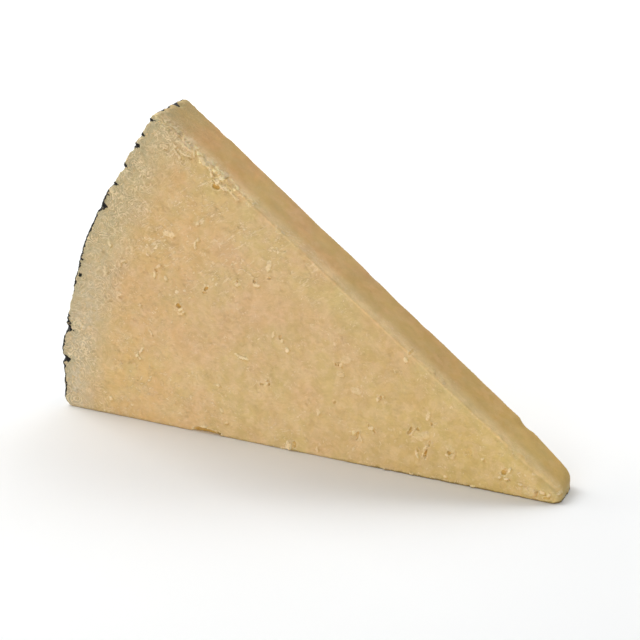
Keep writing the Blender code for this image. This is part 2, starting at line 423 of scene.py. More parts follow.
class Sketch:
    """Lays nodes in one shader tree and joins them."""

    def __init__(self, tree: bpy.types.NodeTree) -> None:
        """Takes the tree to lay nodes in."""
        self.tree = tree

    def node(
        self,
        kind: str,
        settings: dict[str, object] | None = None,
        inputs: dict[str | int, Value] | None = None,
    ) -> bpy.types.Node:
        """Lays one node.

        Args:
            kind: The node's type, without its ShaderNode beginning.
            settings: Properties of the node.
            inputs: A value or another node's output for each named input.

        Returns:
            The node.
        """
        made = self.tree.nodes.new("ShaderNode" + kind)
        for name, value in (settings or {}).items():
            setattr(made, name, value)
        self.feed_all(made, inputs or {})
        return made

    def feed(self, socket: bpy.types.NodeSocket, value: Value) -> None:
        """Sets an input, or joins another node's output to it.

        Args:
            socket: The input.
            value: A value, or the output to join.
        """
        if isinstance(value, bpy.types.NodeSocket):
            self.tree.links.new(value, socket)
        else:
            socket.default_value = value

    def feed_all(self, node: bpy.types.Node, inputs: dict[str | int, Value]) -> None:
        """Sets or joins several inputs of a node."""
        for name, value in inputs.items():
            self.feed(node.inputs[name], value)

    def calc(self, operation: str, *values: Value, clamp: bool = False) -> bpy.types.NodeSocket:
        """Lays a Math node."""
        made = self.node("Math", {"operation": operation, "use_clamp": clamp}, dict(enumerate(values)))
        return made.outputs[0]

    def vector(self, operation: str, *values: Value) -> bpy.types.NodeSocket:
        """Lays a Vector Math node."""
        return self.node("VectorMath", {"operation": operation}, dict(enumerate(values))).outputs[0]

    def dot(self, first: Value, second: Value) -> bpy.types.NodeSocket:
        """Gives the dot product of two vectors."""
        return self.node("VectorMath", {"operation": "DOT_PRODUCT"}, {0: first, 1: second}).outputs["Value"]

    def scaled(self, vector: Value, factor: Value) -> bpy.types.NodeSocket:
        """Gives a vector times a number."""
        return self.node("VectorMath", {"operation": "SCALE"}, {0: vector, "Scale": factor}).outputs[0]

    def ease(self, value: Value, low: Value, high: Value) -> bpy.types.NodeSocket:
        """Eases a value from 0 at one bound to 1 at the other.

        Args:
            value: The value.
            low: Where 0 is reached.
            high: Where 1 is reached.

        Returns:
            The eased value.
        """
        settings = {"interpolation_type": "SMOOTHSTEP"}
        made = self.node("MapRange", settings, {"Value": value, "From Min": low, "From Max": high})
        return made.outputs["Result"]

    def mix(self, factor: Value, first: Value, second: Value, blend: str = "MIX") -> bpy.types.NodeSocket:
        """Mixes two colours.

        Args:
            factor: How much of the second shows.
            first: The colour below.
            second: The colour above.
            blend: How they mix.

        Returns:
            The mixed colour.
        """
        settings = {"data_type": "RGBA", "blend_type": blend}
        made = self.node("Mix", settings, {0: factor, 6: first, 7: second})
        return made.outputs[2]

    def noise(self, vector: Value, scale: Value, detail: float = 2.0, rough: float = 0.5) -> bpy.types.Node:
        """Lays a Noise Texture."""
        inputs = {"Vector": vector, "Scale": scale, "Detail": detail, "Roughness": rough}
        return self.node("TexNoise", None, inputs)

    def waves(self, vector: Value, scale: Value, detail: float = 2.0, rough: float = 0.5) -> Value:
        """Gives the strength of a Noise Texture, from 0 to 1."""
        return self.noise(vector, scale, detail, rough).outputs["Fac"]

    def times(self, first: Value, second: Value) -> Value:
        """Gives the product of two numbers."""
        return self.calc("MULTIPLY", first, second)

    def group(self, tree: bpy.types.NodeTree, inputs: dict[str, Value] | None = None) -> bpy.types.Node:
        """Places a shared node group."""
        return self.node("Group", {"node_tree": tree}, inputs)


def group_tree(
    name: str, inputs: dict[str, float | tuple], outputs: tuple[str, ...]
) -> tuple[bpy.types.NodeTree, Sketch, bpy.types.Node, bpy.types.Node]:
    """Starts a shared node group.

    Args:
        name: The group's name.
        inputs: Each input's name and usual value. A value of three parts makes a vector input.
        outputs: The outputs' names.

    Returns:
        The group's tree, a sketch of it, and its input and output nodes.
    """
    tree = bpy.data.node_groups.new(name, "ShaderNodeTree")
    for label, usual in inputs.items():
        kind = "NodeSocketVector" if isinstance(usual, tuple) else "NodeSocketFloat"
        socket = tree.interface.new_socket(name=label, in_out="INPUT", socket_type=kind)
        socket.default_value = usual
    for label in outputs:
        kind = "NodeSocketVector" if label == "Place" else "NodeSocketFloat"
        tree.interface.new_socket(name=label, in_out="OUTPUT", socket_type=kind)
    return tree, Sketch(tree), tree.nodes.new("NodeGroupInput"), tree.nodes.new("NodeGroupOutput")


class SharedPatterns:
    """The patterns that more than one finish uses, each a node group built once."""

    def __init__(self, cut: WheelCut, middle: Vector) -> None:
        """Builds the groups.

        Args:
            cut: The wheel and its cuts.
            middle: The middle of the wedge's box about the cuts, on the table.
        """
        self.place = self.build_place(cut, middle)
        self.curls = self.build_curls()
        self.flecks = self.build_flecks()
        self.mottle = self.build_mottle()

    @staticmethod
    def build_place(cut: WheelCut, middle: Vector) -> bpy.types.NodeTree:
        """Builds the group that tells where in the wheel a point lies, in millimetres.

        Args:
            cut: The wheel and its cuts.
            middle: The middle of the wedge's box about the cuts, on the table.

        Returns:
            The group's tree.
        """
        outputs = ("Place", "Rim Depth", "Upper Depth", "Front Depth")
        tree, draw, start, end = group_tree("place_in_wheel", {"Waver": 0.0}, outputs)
        where = draw.node("TexCoord").outputs["Object"]
        place = draw.vector("ADD", draw.scaled(where, 1 / MM), tuple(middle))
        wander = draw.vector("SUBTRACT", draw.noise(place, 0.28, 3).outputs["Color"], (0.5, 0.5, 0.5))
        wavered = draw.vector("ADD", place, draw.scaled(wander, start.outputs["Waver"]))
        flat = draw.vector("MULTIPLY", draw.vector("SUBTRACT", wavered, tuple(cut.wheel_centre)), (1, 0, 1))
        length = draw.node("VectorMath", {"operation": "LENGTH"}, {0: flat}).outputs["Value"]
        draw.feed(end.inputs["Place"], place)
        draw.feed(end.inputs["Rim Depth"], draw.calc("SUBTRACT", cut.wheel_radius, length))
        draw.feed(end.inputs["Upper Depth"], draw.dot(wavered, tuple(cut.into_upper_cut)))
        front = draw.calc("SUBTRACT", draw.dot(wavered, tuple(INTO_FRONT)), cut.y_front)
        draw.feed(end.inputs["Front Depth"], front)
        return tree

    @staticmethod
    def build_curls() -> bpy.types.NodeTree:
        """Builds the group of short curled lines that a cutting wire raises.

        The lines follow the level curves of a soft noise, so that neighbours run side by side and close
        into whorls. A finer noise breaks them into strokes.

        Returns:
            The group's tree.
        """
        usual = {"Place": (0.0, 0.0, 0.0), "Size": 4.0, "Lines": 8.0, "Thin": 0.3, "Cover": 0.5}
        tree, draw, start, end = group_tree("curled_lines", usual, ("Mask",))
        given = start.outputs
        density = draw.calc("DIVIDE", 1.0, given["Size"])
        swell = draw.waves(given["Place"], density, 1.5, 0.35)
        turns = draw.times(swell, given["Lines"])
        wave = draw.calc("SINE", draw.times(turns, math.tau))
        line = draw.ease(wave, given["Thin"], draw.calc("ADD", given["Thin"], 0.45))
        apart = draw.vector("ADD", given["Place"], (37.0, 11.0, 5.0))
        breaker = draw.waves(apart, 0.75, 2, 0.6)
        bound = draw.calc("MULTIPLY_ADD", given["Cover"], -0.36, 0.68)
        kept = draw.ease(breaker, bound, draw.calc("ADD", bound, 0.07))
        draw.feed(end.inputs["Mask"], draw.times(line, kept))
        return tree

    @staticmethod
    def build_flecks() -> bpy.types.NodeTree:
        """Builds the group of separate flecks, some large, some small.

        Returns:
            The group's tree.
        """
        usual = {"Place": (0.0, 0.0, 0.0), "Size": 1.0, "Cover": 0.3, "Ragged": 0.5}
        tree, draw, start, end = group_tree("flecks", usual, ("Mask",))
        given = start.outputs
        share = draw.vector("DIVIDE", given["Place"], draw.node("CombineXYZ", None, {
            0: given["Size"], 1: given["Size"], 2: given["Size"]}).outputs[0])
        wander = draw.vector("SUBTRACT", draw.noise(share, 2.2, 2).outputs["Color"], (0.5, 0.5, 0.5))
        ragged = draw.vector("ADD", share, draw.scaled(wander, given["Ragged"]))
        cells = draw.node("TexVoronoi", None, {"Vector": ragged, "Scale": 0.45, "Randomness": 1.0})
        chance = draw.dot(cells.outputs["Color"], (0.5, 0.3, 0.2))
        bare = draw.calc("SUBTRACT", 1.0, given["Cover"])
        size = draw.times(draw.ease(chance, bare, 1.0), 0.34)
        near = draw.calc("SUBTRACT", size, cells.outputs["Distance"])
        draw.feed(end.inputs["Mask"], draw.ease(near, 0.0, 0.09))
        return tree

    @staticmethod
    def build_mottle() -> bpy.types.NodeTree:
        """Builds the group of soft patches, from 0 to 1.

        Returns:
            The group's tree.
        """
        usual = {"Place": (0.0, 0.0, 0.0), "Size": 8.0, "Contrast": 0.5}
        tree, draw, start, end = group_tree("soft_patches", usual, ("Value",))
        given = start.outputs
        scale = draw.calc("DIVIDE", 1.0, given["Size"])
        value = draw.waves(given["Place"], scale, 3, 0.55)
        reach = draw.calc("MULTIPLY_ADD", given["Contrast"], -0.25, 0.3)
        patch = draw.ease(value, draw.calc("SUBTRACT", 0.5, reach), draw.calc("ADD", 0.5, reach))
        draw.feed(end.inputs["Value"], patch)
        return tree


def shade(red: int, green: int, blue: int) -> tuple[float, float, float, float]:
    """Turns a display colour into the light value that shaders use.

    Args:
        red: From 0 to 255.
        green: From 0 to 255.
        blue: From 0 to 255.

    Returns:
        The linear colour, opaque.
    """
    parts = [part / 255 for part in (red, green, blue)]
    light = [part / 12.92 if part <= 0.04045 else ((part + 0.055) / 1.055) ** 2.4 for part in parts]
    return light[0], light[1], light[2], 1.0


def new_material(name: str) -> tuple[bpy.types.Material, bpy.types.Node]:
    """Starts a material.

    Args:
        name: Its name.

    Returns:
        The material and its Principled shader.
    """
    material = bpy.data.materials.new(name)
    material.use_nodes = True
    return material, material.node_tree.nodes["Principled BSDF"]


class FinishSketch(Sketch):
    """A sketch of a finish, with the shared patterns and the place in the wheel at hand."""

    def __init__(self, tree: bpy.types.NodeTree, patterns: SharedPatterns, waver: float = 0.0) -> None:
        """Lays the group that tells where in the wheel a point lies.

        Args:
            tree: The finish's node tree.
            patterns: The shared node groups.
            waver: How far the depths below the rim and the cuts waver, in millimetres.
        """
        super().__init__(tree)
        self.patterns = patterns
        self.where = self.group(patterns.place, {"Waver": waver}).outputs
        self.place = self.where["Place"]

    def shifted(self, *shift: float) -> Value:
        """Gives the place shifted, which reads another part of a pattern."""
        return self.vector("ADD", self.place, shift)

    def along(self, *direction: float) -> Value:
        """Gives how far the place lies along a direction."""
        return self.dot(self.place, direction)

    def stored(self, name: str) -> Value:
        """Reads a number that the mesh keeps for each vertex."""
        return self.node("Attribute", {"attribute_name": name}).outputs["Fac"]

    def patches(self, place: Value, size: float, contrast: float) -> Value:
        """Lays soft patches, from 0 to 1."""
        inputs = {"Place": place, "Size": size, "Contrast": contrast}
        return self.group(self.patterns.mottle, inputs).outputs[0]

    def curls(self, place: Value, size: float, lines: float, thin: float, cover: float) -> Value:
        """Lays curled lines, from 0 to 1."""
        inputs = {"Place": place, "Size": size, "Lines": lines, "Thin": thin, "Cover": cover}
        return self.group(self.patterns.curls, inputs).outputs[0]

    def specks(self, place: Value, size: float, cover: float, ragged: float) -> Value:
        """Lays separate specks, from 0 to 1."""
        inputs = {"Place": place, "Size": size, "Cover": cover, "Ragged": ragged}
        return self.group(self.patterns.flecks, inputs).outputs[0]


Colour = tuple[float, float, float, float]


@dataclass(frozen=True)
class PasteFinish:
    """The cut cheese: warm heart, greyish zone under the rind, pale wire marks, flecks and openings."""

    warm: Colour = shade(212, 175, 128)
    yellow: Colour = shade(208, 178, 124)
    tip: Colour = shade(204, 172, 110)
    pink: Colour = shade(226, 194, 156)
    blush: Colour = shade(213, 170, 110)
    upper_tone: Colour = (1.04, 0.92, 0.68, 1.0)
    rim: Colour = shade(212, 195, 164)
    rim_high: Colour = shade(205, 186, 144)
    rim_edge: Colour = shade(181, 170, 136)
    pale: Colour = shade(245, 223, 180)
    # Painted highlight along the rounded near edge of the upper cut
    painted_edge_highlight: Colour = shade(252, 218, 157)
    crumb: Colour = shade(255, 238, 182)
    # Brown of the openings, also painted as shadow into the grooves beside flakes
    opening_and_groove_shade: Colour = shade(205, 162, 84)
    # Dark specks, and the painted contact shadow along the foot of the faces
    dark_speck_and_shade: Colour = shade(132, 110, 66)
    olive: Colour = shade(203, 180, 120)
    coat_line: Colour = shade(24, 23, 22)
    rim_zone: float = 24.0
    # What the soft streaks darken and lighten the face by
    streak_low: Colour = (0.95, 0.94, 0.925, 1.0)
    streak_high: Colour = (1.045, 1.05, 1.065, 1.0)
    # What soft clouds some millimetres wide darken and lighten the face by
    cloud_low: Colour = (0.965, 0.955, 0.93, 1.0)
    cloud_high: Colour = (1.03, 1.03, 1.04, 1.0)
    # What the finest grain darkens and lightens the paste by
    grain_low: Colour = shade(150, 150, 150)
    grain_high: Colour = shade(255, 255, 255)
    # Painted light: how much the face is lightened near the table, making up for the floor bounce that the
    # wedge's own shadow takes away
    painted_low_light: Colour = (1.07, 1.10, 1.07, 1.0)
    streak_height: float = 0.055
    grain_height: float = 0.04
    stroke_height: float = 0.09
    fleck_height: float = 0.10
    layer_height: float = 0.09
    hole_depth: float = 0.16
    up_the_cut: Vector = WheelCut().up_the_cut
    into_upper_cut: Vector = WheelCut().into_upper_cut
    y_front: float = WheelCut().y_front

    def material(self, patterns: SharedPatterns) -> bpy.types.Material:
        """Builds the material.

        Args:
            patterns: The shared node groups.

        Returns:
            The material.
        """
        material, shader = new_material("cheese_paste")
        layers = PasteLayers(material.node_tree, patterns, self)
        layers.feed_all(shader, layers.build() | {
            "Subsurface Weight": 0.2,
            "Subsurface Radius": (1.0, 0.55, 0.25),
            "Subsurface Scale": 0.9 * MM,
            "Specular IOR Level": 0.2,
        })
        return material


class PasteLayers(FinishSketch):
    """The layers of the paste, each laid over the colour so far."""

    def __init__(self, tree: bpy.types.NodeTree, patterns: SharedPatterns, finish: PasteFinish) -> None:
        """Starts with the heart's yellow, and works out what several layers share.

        Args:
            tree: The paste's node tree.
            patterns: The shared node groups.
            finish: The paste's colours and heights.
        """
        super().__init__(tree, patterns, 3.2)
        self.finish = finish
        self.colour: Value = finish.yellow
        self.rim, self.upper = self.where["Rim Depth"], self.where["Upper Depth"]
        self.height = self.along(0.0, 0.0, 1.0)
        self.rim_share = self.ease(self.rim, finish.rim_zone, 2.5)
        near_upper = self.ease(self.upper, 2.2, 1.0)
        self.on_cut = self.times(near_upper, self.ease(self.where["Front Depth"], 0.8, 6.0))
        self.calm = self.calc("MULTIPLY_ADD", self.on_cut, -0.88, 1.0)
        self.lively = self.liveliness()

    def lay(self, share: Value, above: Value, blend: str = "MIX") -> None:
        """Lays a colour over the colour so far."""
        self.colour = self.mix(share, self.colour, above, blend)

    def build(self) -> dict[str, Value]:
        """Lays every layer.

        Returns:
            The shader's colour, normal and roughness.
        """
        finish = self.finish
        streaks = self.streaks()
        self.heart()
        self.under_rind()
        self.upper_cut()
        tone = self.mix(self.ease(streaks, 0.3, 0.7), finish.streak_low, finish.streak_high)
        self.lay(self.calm, tone, "MULTIPLY")
        strokes, flecks = self.wire_marks(), self.flecks()
        layers, holes = self.torn_layers(), self.holes()
        self.openings_flakes_and_groove_shade()
        self.painted_foot_shadow()
        self.cut_of_the_coat()
        fine = self.waves(self.place, 2.6, 3, 0.6)
        tone = self.mix(self.ease(fine, 0.25, 0.75), finish.grain_low, finish.grain_high)
        self.lay(self.calc("MULTIPLY_ADD", self.rim_share, 0.14, 0.07), tone, "MULTIPLY")
        height = self.times(fine, finish.grain_height)
        for mask, rise in (
            (self.times(streaks, self.calm), finish.streak_height),
            (strokes, finish.stroke_height),
            (flecks, finish.fleck_height),
            (layers, finish.layer_height),
            (holes, -finish.hole_depth),
        ):
            height = self.calc("MULTIPLY_ADD", mask, rise, height)
        bump = self.node("Bump", None, {"Height": height, "Distance": MM, "Strength": 1.0})
        gloss = self.calc("MULTIPLY_ADD", self.waves(self.place, 0.5, 3), 0.2, 0.44)
        rough = self.calc("MULTIPLY_ADD", self.rim_share, 0.16, gloss)
        return {"Base Color": self.colour, "Normal": bump.outputs[0], "Roughness": rough}

    def liveliness(self) -> Value:
        """Tells how torn the surface is: lively patches among smooth ones, most of them towards the rind.

        Returns:
            A value from 0 to about 1.6.
        """
        patches = self.patches(self.shifted(91.0, 47.0, 33.0), 8.0, 0.85)
        by_rind = self.calc("MULTIPLY_ADD", self.ease(self.rim, 80.0, 15.0), 0.5, 0.65)
        torn = self.calc("MULTIPLY_ADD", patches, 1.1, 0.3)
        return self.times(self.times(self.calm, by_rind), torn)

    def streaks(self) -> Value:
        """Draws the paste out into soft wavy streaks, as the wire dragged it.

        Returns:
            A value from 0 to 1.
        """
        bend = self.calc("MULTIPLY_ADD", self.waves(self.place, 0.17, 1.5), 9.0, -4.5)
        parts = self.node("SeparateXYZ", None, {0: self.place}).outputs
        across = self.calc("ADD", parts["Z"], bend)
        stretched = self.node("CombineXYZ", None, {
            0: self.times(parts["X"], 0.45),
            1: parts["Y"],
            2: self.times(across, 1.25),
        })
        return self.waves(stretched.outputs[0], 1.0, 3, 0.55)

    def heart(self) -> None:
        """Lays the heart's colour, warmer in patches, browner some way under the rind and at the tip, and
        lightened near the table as painted light.
        """
        finish = self.finish
        self.lay(self.patches(self.place, 11.0, 0.6), finish.warm)
        self.lay(self.ease(self.along(-1.0, 0.0, 0.0), 95.0, 15.0), finish.tip)
        shifted = self.shifted(19.0, 7.0, 53.0)
        self.lay(self.times(self.patches(shifted, 2.4, 0.9), 0.27), finish.pink)
        ring = self.times(self.ease(self.rim, 7.0, 16.0), self.ease(self.rim, 42.0, 27.0))
        warmth = self.patches(shifted, 4.5, 0.7)
        self.lay(self.times(ring, self.calc("MULTIPLY_ADD", warmth, 0.4, 0.1)), finish.blush)
        apart = self.shifted(3.0, 77.0, 21.0)
        near_cut = self.ease(self.upper, 16.0, 2.0)
        green = self.times(self.patches(apart, 10.0, 0.6), self.calc("MULTIPLY_ADD", near_cut, 0.45, 0.15))
        self.lay(green, finish.olive)
        cloud = self.patches(apart, 4.5, 0.75)
        self.lay(1.0, self.mix(cloud, finish.cloud_low, finish.cloud_high), "MULTIPLY")
        # Painted light: lightens the face near the table
        self.lay(self.ease(self.height, 34.0, 8.0), finish.painted_low_light, "MULTIPLY")

    def under_rind(self) -> None:
        """Greys the zone under the rind, most of all in the last few millimetres."""
        finish = self.finish
        patches = self.patches(self.place, 2.2, 0.7)
        share = self.ease(self.rim, 17.0, 2.5)
        uneven = self.calc("MULTIPLY", share, self.calc("MULTIPLY_ADD", patches, 0.5, 0.6), clamp=True)
        high = self.ease(self.height, 18.0, 62.0)
        self.lay(uneven, self.mix(high, finish.rim, finish.rim_high))
        outer = self.ease(self.stored("from_coat"), 3.4, 0.2)
        self.lay(self.times(outer, self.calc("MULTIPLY_ADD", patches, 0.5, 0.35)), finish.rim_edge)

    def upper_cut(self) -> None:
        """Deepens the smooth upper cut and paints a soft pale highlight along its near edge."""
        finish = self.finish
        patches = self.patches(self.place, 5.0, 0.6)
        depth = self.times(self.on_cut, self.calc("MULTIPLY_ADD", patches, 0.3, 0.75))
        self.lay(depth, finish.upper_tone, "MULTIPLY")
        lower = self.along(*finish.into_upper_cut)
        behind = self.calc("SUBTRACT", self.along(*INTO_FRONT), finish.y_front)
        squares = self.calc("MULTIPLY_ADD", behind, behind, self.calc("POWER", lower, 2.0))
        from_edge = self.calc("SQRT", squares)
        # Painted highlight along the turn of the near edge
        line = self.times(self.ease(behind, 6.5, 0.3), self.ease(lower, 0.95, 0.45))
        line = self.times(line, self.calc("MULTIPLY_ADD", self.ease(behind, 0.05, 0.4), 0.62, 0.38))
        line = self.times(line, self.calc("MULTIPLY_ADD", patches, 0.3, 0.4))
        self.lay(line, finish.painted_edge_highlight)
        ragged = self.ease(self.waves(self.place, 0.55, 3, 0.65), 0.5, 0.62)
        crumbled = self.times(self.ease(from_edge, 2.6, 1.2), ragged)
        high = self.ease(self.along(*finish.up_the_cut), 118.0, 127.0)
        self.lay(self.times(crumbled, high), finish.crumb)

    def wire_marks(self) -> Value:
        """Lays pale curled strokes, thick under the rind and in loose clusters elsewhere.

        Returns:
            A mask of the strokes.
        """
        finish = self.finish
        shifted = self.shifted(71.0, 23.0, 9.0)
        second = self.curls(shifted, 2.6, 9.0, 0.3, 0.5)
        first = self.curls(self.place, 4.4, 14.0, 0.1, 0.85)
        strokes = self.calc("MAXIMUM", first, self.times(second, 0.8))
        uneven = self.waves(self.place, 0.5, 2, 0.6)
        strokes = self.times(strokes, self.calc("MULTIPLY_ADD", uneven, 2.6, -0.55, clamp=True))
        ticks = self.curls(self.shifted(13.0, 87.0, 41.0), 3.0, 6.5, 0.2, 0.34)
        clusters = self.patches(shifted, 5.5, 0.95)
        ticks = self.times(ticks, self.calc("MULTIPLY_ADD", clusters, 0.85, 0.12))
        near_rim = self.times(self.times(strokes, self.rim_share), self.lively)
        ticks = self.times(self.calc("MAXIMUM", ticks, self.slashes()), self.lively)
        between = self.calc("SUBTRACT", 1.0, strokes)
        self.lay(self.times(between, self.times(self.rim_share, 0.18)), finish.dark_speck_and_shade)
        self.lay(self.times(near_rim, 0.5), finish.pale)
        self.lay(self.times(ticks, 0.55), finish.pale)
        return self.calc("MAXIMUM", near_rim, ticks)

    def slashes(self) -> Value:
        """Draws short strokes that climb towards the tip, in the upper part of the faces.

        Returns:
            A mask of the strokes.
        """
        turned = self.node("CombineXYZ", None, {
            0: self.along(0.32, 0.0, 0.23),
            1: self.along(0.0, 1.0, 0.0),
            2: self.along(-0.92, 0.0, 1.3),
        }).outputs[0]
        strokes = self.ease(self.waves(turned, 1.0, 3, 0.6), 0.56, 0.66)
        high = self.ease(self.height, 34.0, 52.0)
        return self.times(strokes, self.calc("MULTIPLY_ADD", high, 0.6, 0.1))

    def flecks(self) -> Value:
        """Strews pale torn flecks, large and small.

        Returns:
            A mask of the flecks.
        """
        large = self.specks(self.place, 2.2, 0.45, 1.3)
        small = self.specks(self.place, 1.0, 0.34, 1.2)
        mask = self.times(self.calc("MAXIMUM", self.times(large, 0.6), small), self.lively)
        self.lay(self.times(mask, 0.5), self.finish.pale)
        return mask

    def torn_layers(self) -> Value:
        """Raises thin layers with crisp torn edges, the larger ones flat, the smaller ones paler.

        Returns:
            The layers' height, from 0 to 1.
        """
        large = self.ease(self.waves(self.place, 0.4, 5, 0.62), 0.53, 0.56)
        small = self.ease(self.waves(self.shifted(43.0, 3.0, 17.0), 0.95, 4, 0.6), 0.6, 0.64)
        pale = self.calc("MULTIPLY_ADD", small, 0.32, self.times(large, 0.07))
        self.lay(self.times(pale, self.lively), self.finish.pale)
        height = self.calc("MULTIPLY_ADD", large, 0.6, self.times(small, 0.6))
        return self.times(height, self.lively)

    def holes(self) -> Value:
        """Pricks small dark holes and ticks.

        Returns:
            A mask of the holes.
        """
        holes = self.specks(self.shifted(5.0, 61.0, 29.0), 0.8, 0.3, 1.4)
        amount = self.times(self.calc("MULTIPLY_ADD", self.rim_share, 0.5, 0.5), self.lively)
        mask = self.times(holes, amount)
        self.lay(self.times(mask, 0.4), self.finish.dark_speck_and_shade)
        return mask

    def openings_flakes_and_groove_shade(self) -> None:
        """Browns the openings, paints shadow brown into the grooves beside the flakes, and pales the
        flakes, from the mesh's own attributes.
        """
        self.lay(self.stored("opening_and_groove_shade"), self.finish.opening_and_groove_shade)
        self.lay(self.times(self.stored("flake"), 0.85), self.finish.pale)

    def painted_foot_shadow(self) -> None:
        """Darkens the thin ragged line where the faces meet the table: painted contact shadow, with some
        grime.
        """
        width = self.calc("MULTIPLY_ADD", self.waves(self.place, 0.5, 3, 0.6), 1.6, -0.2)
        line = self.ease(self.height, width, self.times(width, 0.35))
        by_tip = self.ease(self.along(-1.0, 0.0, 0.0), 75.0, 55.0)
        self.lay(self.times(line, self.calc("MULTIPLY_ADD", by_tip, 0.5, 0.4)), self.finish.dark_speck_and_shade)

    def cut_of_the_coat(self) -> None:
        """Draws the coat's own cut, a thin broken black line at the rim."""
        shown: Value = 0.0
        for low, high in COAT_TURNS_IN:
            above = self.ease(self.height, low - 1, low + 1)
            inside = self.times(above, self.ease(self.height, high + 1, high - 1))
            shown = self.calc("MAXIMUM", shown, inside)
        uneven = self.waves(self.place, 0.8, 2)
        width = self.times(shown, self.calc("MULTIPLY_ADD", uneven, 1.4, -0.38))
        outside, inside = self.calc("ADD", width, 0.08), self.calc("SUBTRACT", width, 0.08)
        line = self.ease(self.stored("from_coat"), outside, inside)
        self.lay(self.times(line, shown), self.finish.coat_line)


@dataclass(frozen=True)
class CoatFinish:
    """The black coat of the rind: dull, wrinkled, dusty in its hollows and scuffed on its high places."""

    black: Colour = shade(11, 10, 9)
    brown: Colour = shade(38, 31, 24)
    dust: Colour = shade(84, 77, 64)

    def material(self, patterns: SharedPatterns) -> bpy.types.Material:
        """Builds the material.

        Args:
            patterns: The shared node groups.

        Returns:
            The material.
        """
        material, shader = new_material("rind_coat")
        draw = FinishSketch(material.node_tree, patterns)
        place = draw.place
        patches = draw.patches(place, 7.0, 0.6)
        colour = draw.mix(draw.times(patches, 0.55), self.black, self.brown)
        scuffs = draw.curls(place, 5.0, 6.0, 0.3, 0.35)
        specks = draw.specks(place, 0.9, 0.3, 0.9)
        worn = draw.calc("MAXIMUM", draw.times(scuffs, 0.35), draw.times(specks, 0.3))
        wrinkles = draw.waves(place, 0.9, 4, 0.6)
        height = draw.calc("MULTIPLY_ADD", specks, 0.04, draw.times(wrinkles, 0.25))
        bump = draw.node("Bump", None, {"Height": height, "Distance": MM, "Strength": 1.0})
        rough = draw.calc("MULTIPLY_ADD", worn, 0.5, draw.calc("MULTIPLY_ADD", wrinkles, 0.3, 0.36))
        draw.feed_all(shader, {
            "Base Color": draw.mix(worn, colour, self.dust),
            "Normal": bump.outputs[0],
            "Roughness": rough,
            "Specular IOR Level": 0.22,
        })
        return material


@dataclass(frozen=True)
class CrumbFinish:
    """Loose crumbs and raised slivers, drier and paler than the face they cling to."""

    pale: Colour = shade(230, 205, 156)
    tan: Colour = shade(212, 182, 128)

    def material(self, patterns: SharedPatterns, name: str) -> bpy.types.Material:
        """Builds the material.

        Args:
            patterns: The shared node groups.
            name: The material's name.

        Returns:
            The material.
        """
        material, shader = new_material(name)
        draw = FinishSketch(material.node_tree, patterns)
        fine = draw.waves(draw.place, 5.0, 2)
        bump = draw.node("Bump", None, {"Height": draw.times(fine, 0.03), "Distance": MM})
        draw.feed_all(shader, {
            "Base Color": draw.mix(draw.patches(draw.place, 2.6, 0.8), self.tan, self.pale),
            "Normal": bump.outputs[0],
            "Roughness": draw.calc("MULTIPLY_ADD", fine, 0.2, 0.5),
            "Subsurface Weight": 0.25,
            "Subsurface Radius": (1.0, 0.55, 0.25),
            "Subsurface Scale": 0.6 * MM,
        })
        return material


@dataclass(frozen=True)
class FloorFinish:
    """The white studio floor."""

    white: Colour = shade(245, 246, 246)

    def material(self) -> bpy.types.Material:
        """Builds the material.

        Returns:
            The material.
        """
        material, shader = new_material("studio_floor")
        draw = Sketch(material.node_tree)
        fine = draw.waves(draw.node("TexCoord").outputs["Object"], 3.0, 2)
        draw.feed_all(shader, {
            "Base Color": self.white,
            "Roughness": draw.calc("MULTIPLY_ADD", fine, 0.1, 0.7),
            "Specular IOR Level": 0.1,
        })
        return material


# ---------------------------------------------------------------------------------------------------
# The wedge
# ---------------------------------------------------------------------------------------------------


class Side(Enum):
    """The cut sides of the wedge that small pits are strewn over."""

    FRONT = "front"
    BACK = "back"
    UPPER = "upper"


@dataclass(frozen=True)
class EdgeRounding:
    """How far each edge and corner of the wedge is rounded, in millimetres."""

    lower_rind_corner: float = 3.2
    upper_rind_corner: float = 2.2
    tip_corner_height: float = 1.6
    tip_front_corner: float = 3.4
    tip_back_corner: float = 4.5
    near_upper_edge: float = 2.4
    far_upper_edge: float = 0.6
    rind_edge: float = 0.6
    table_edge: float = 0.3
    segments: int = 5


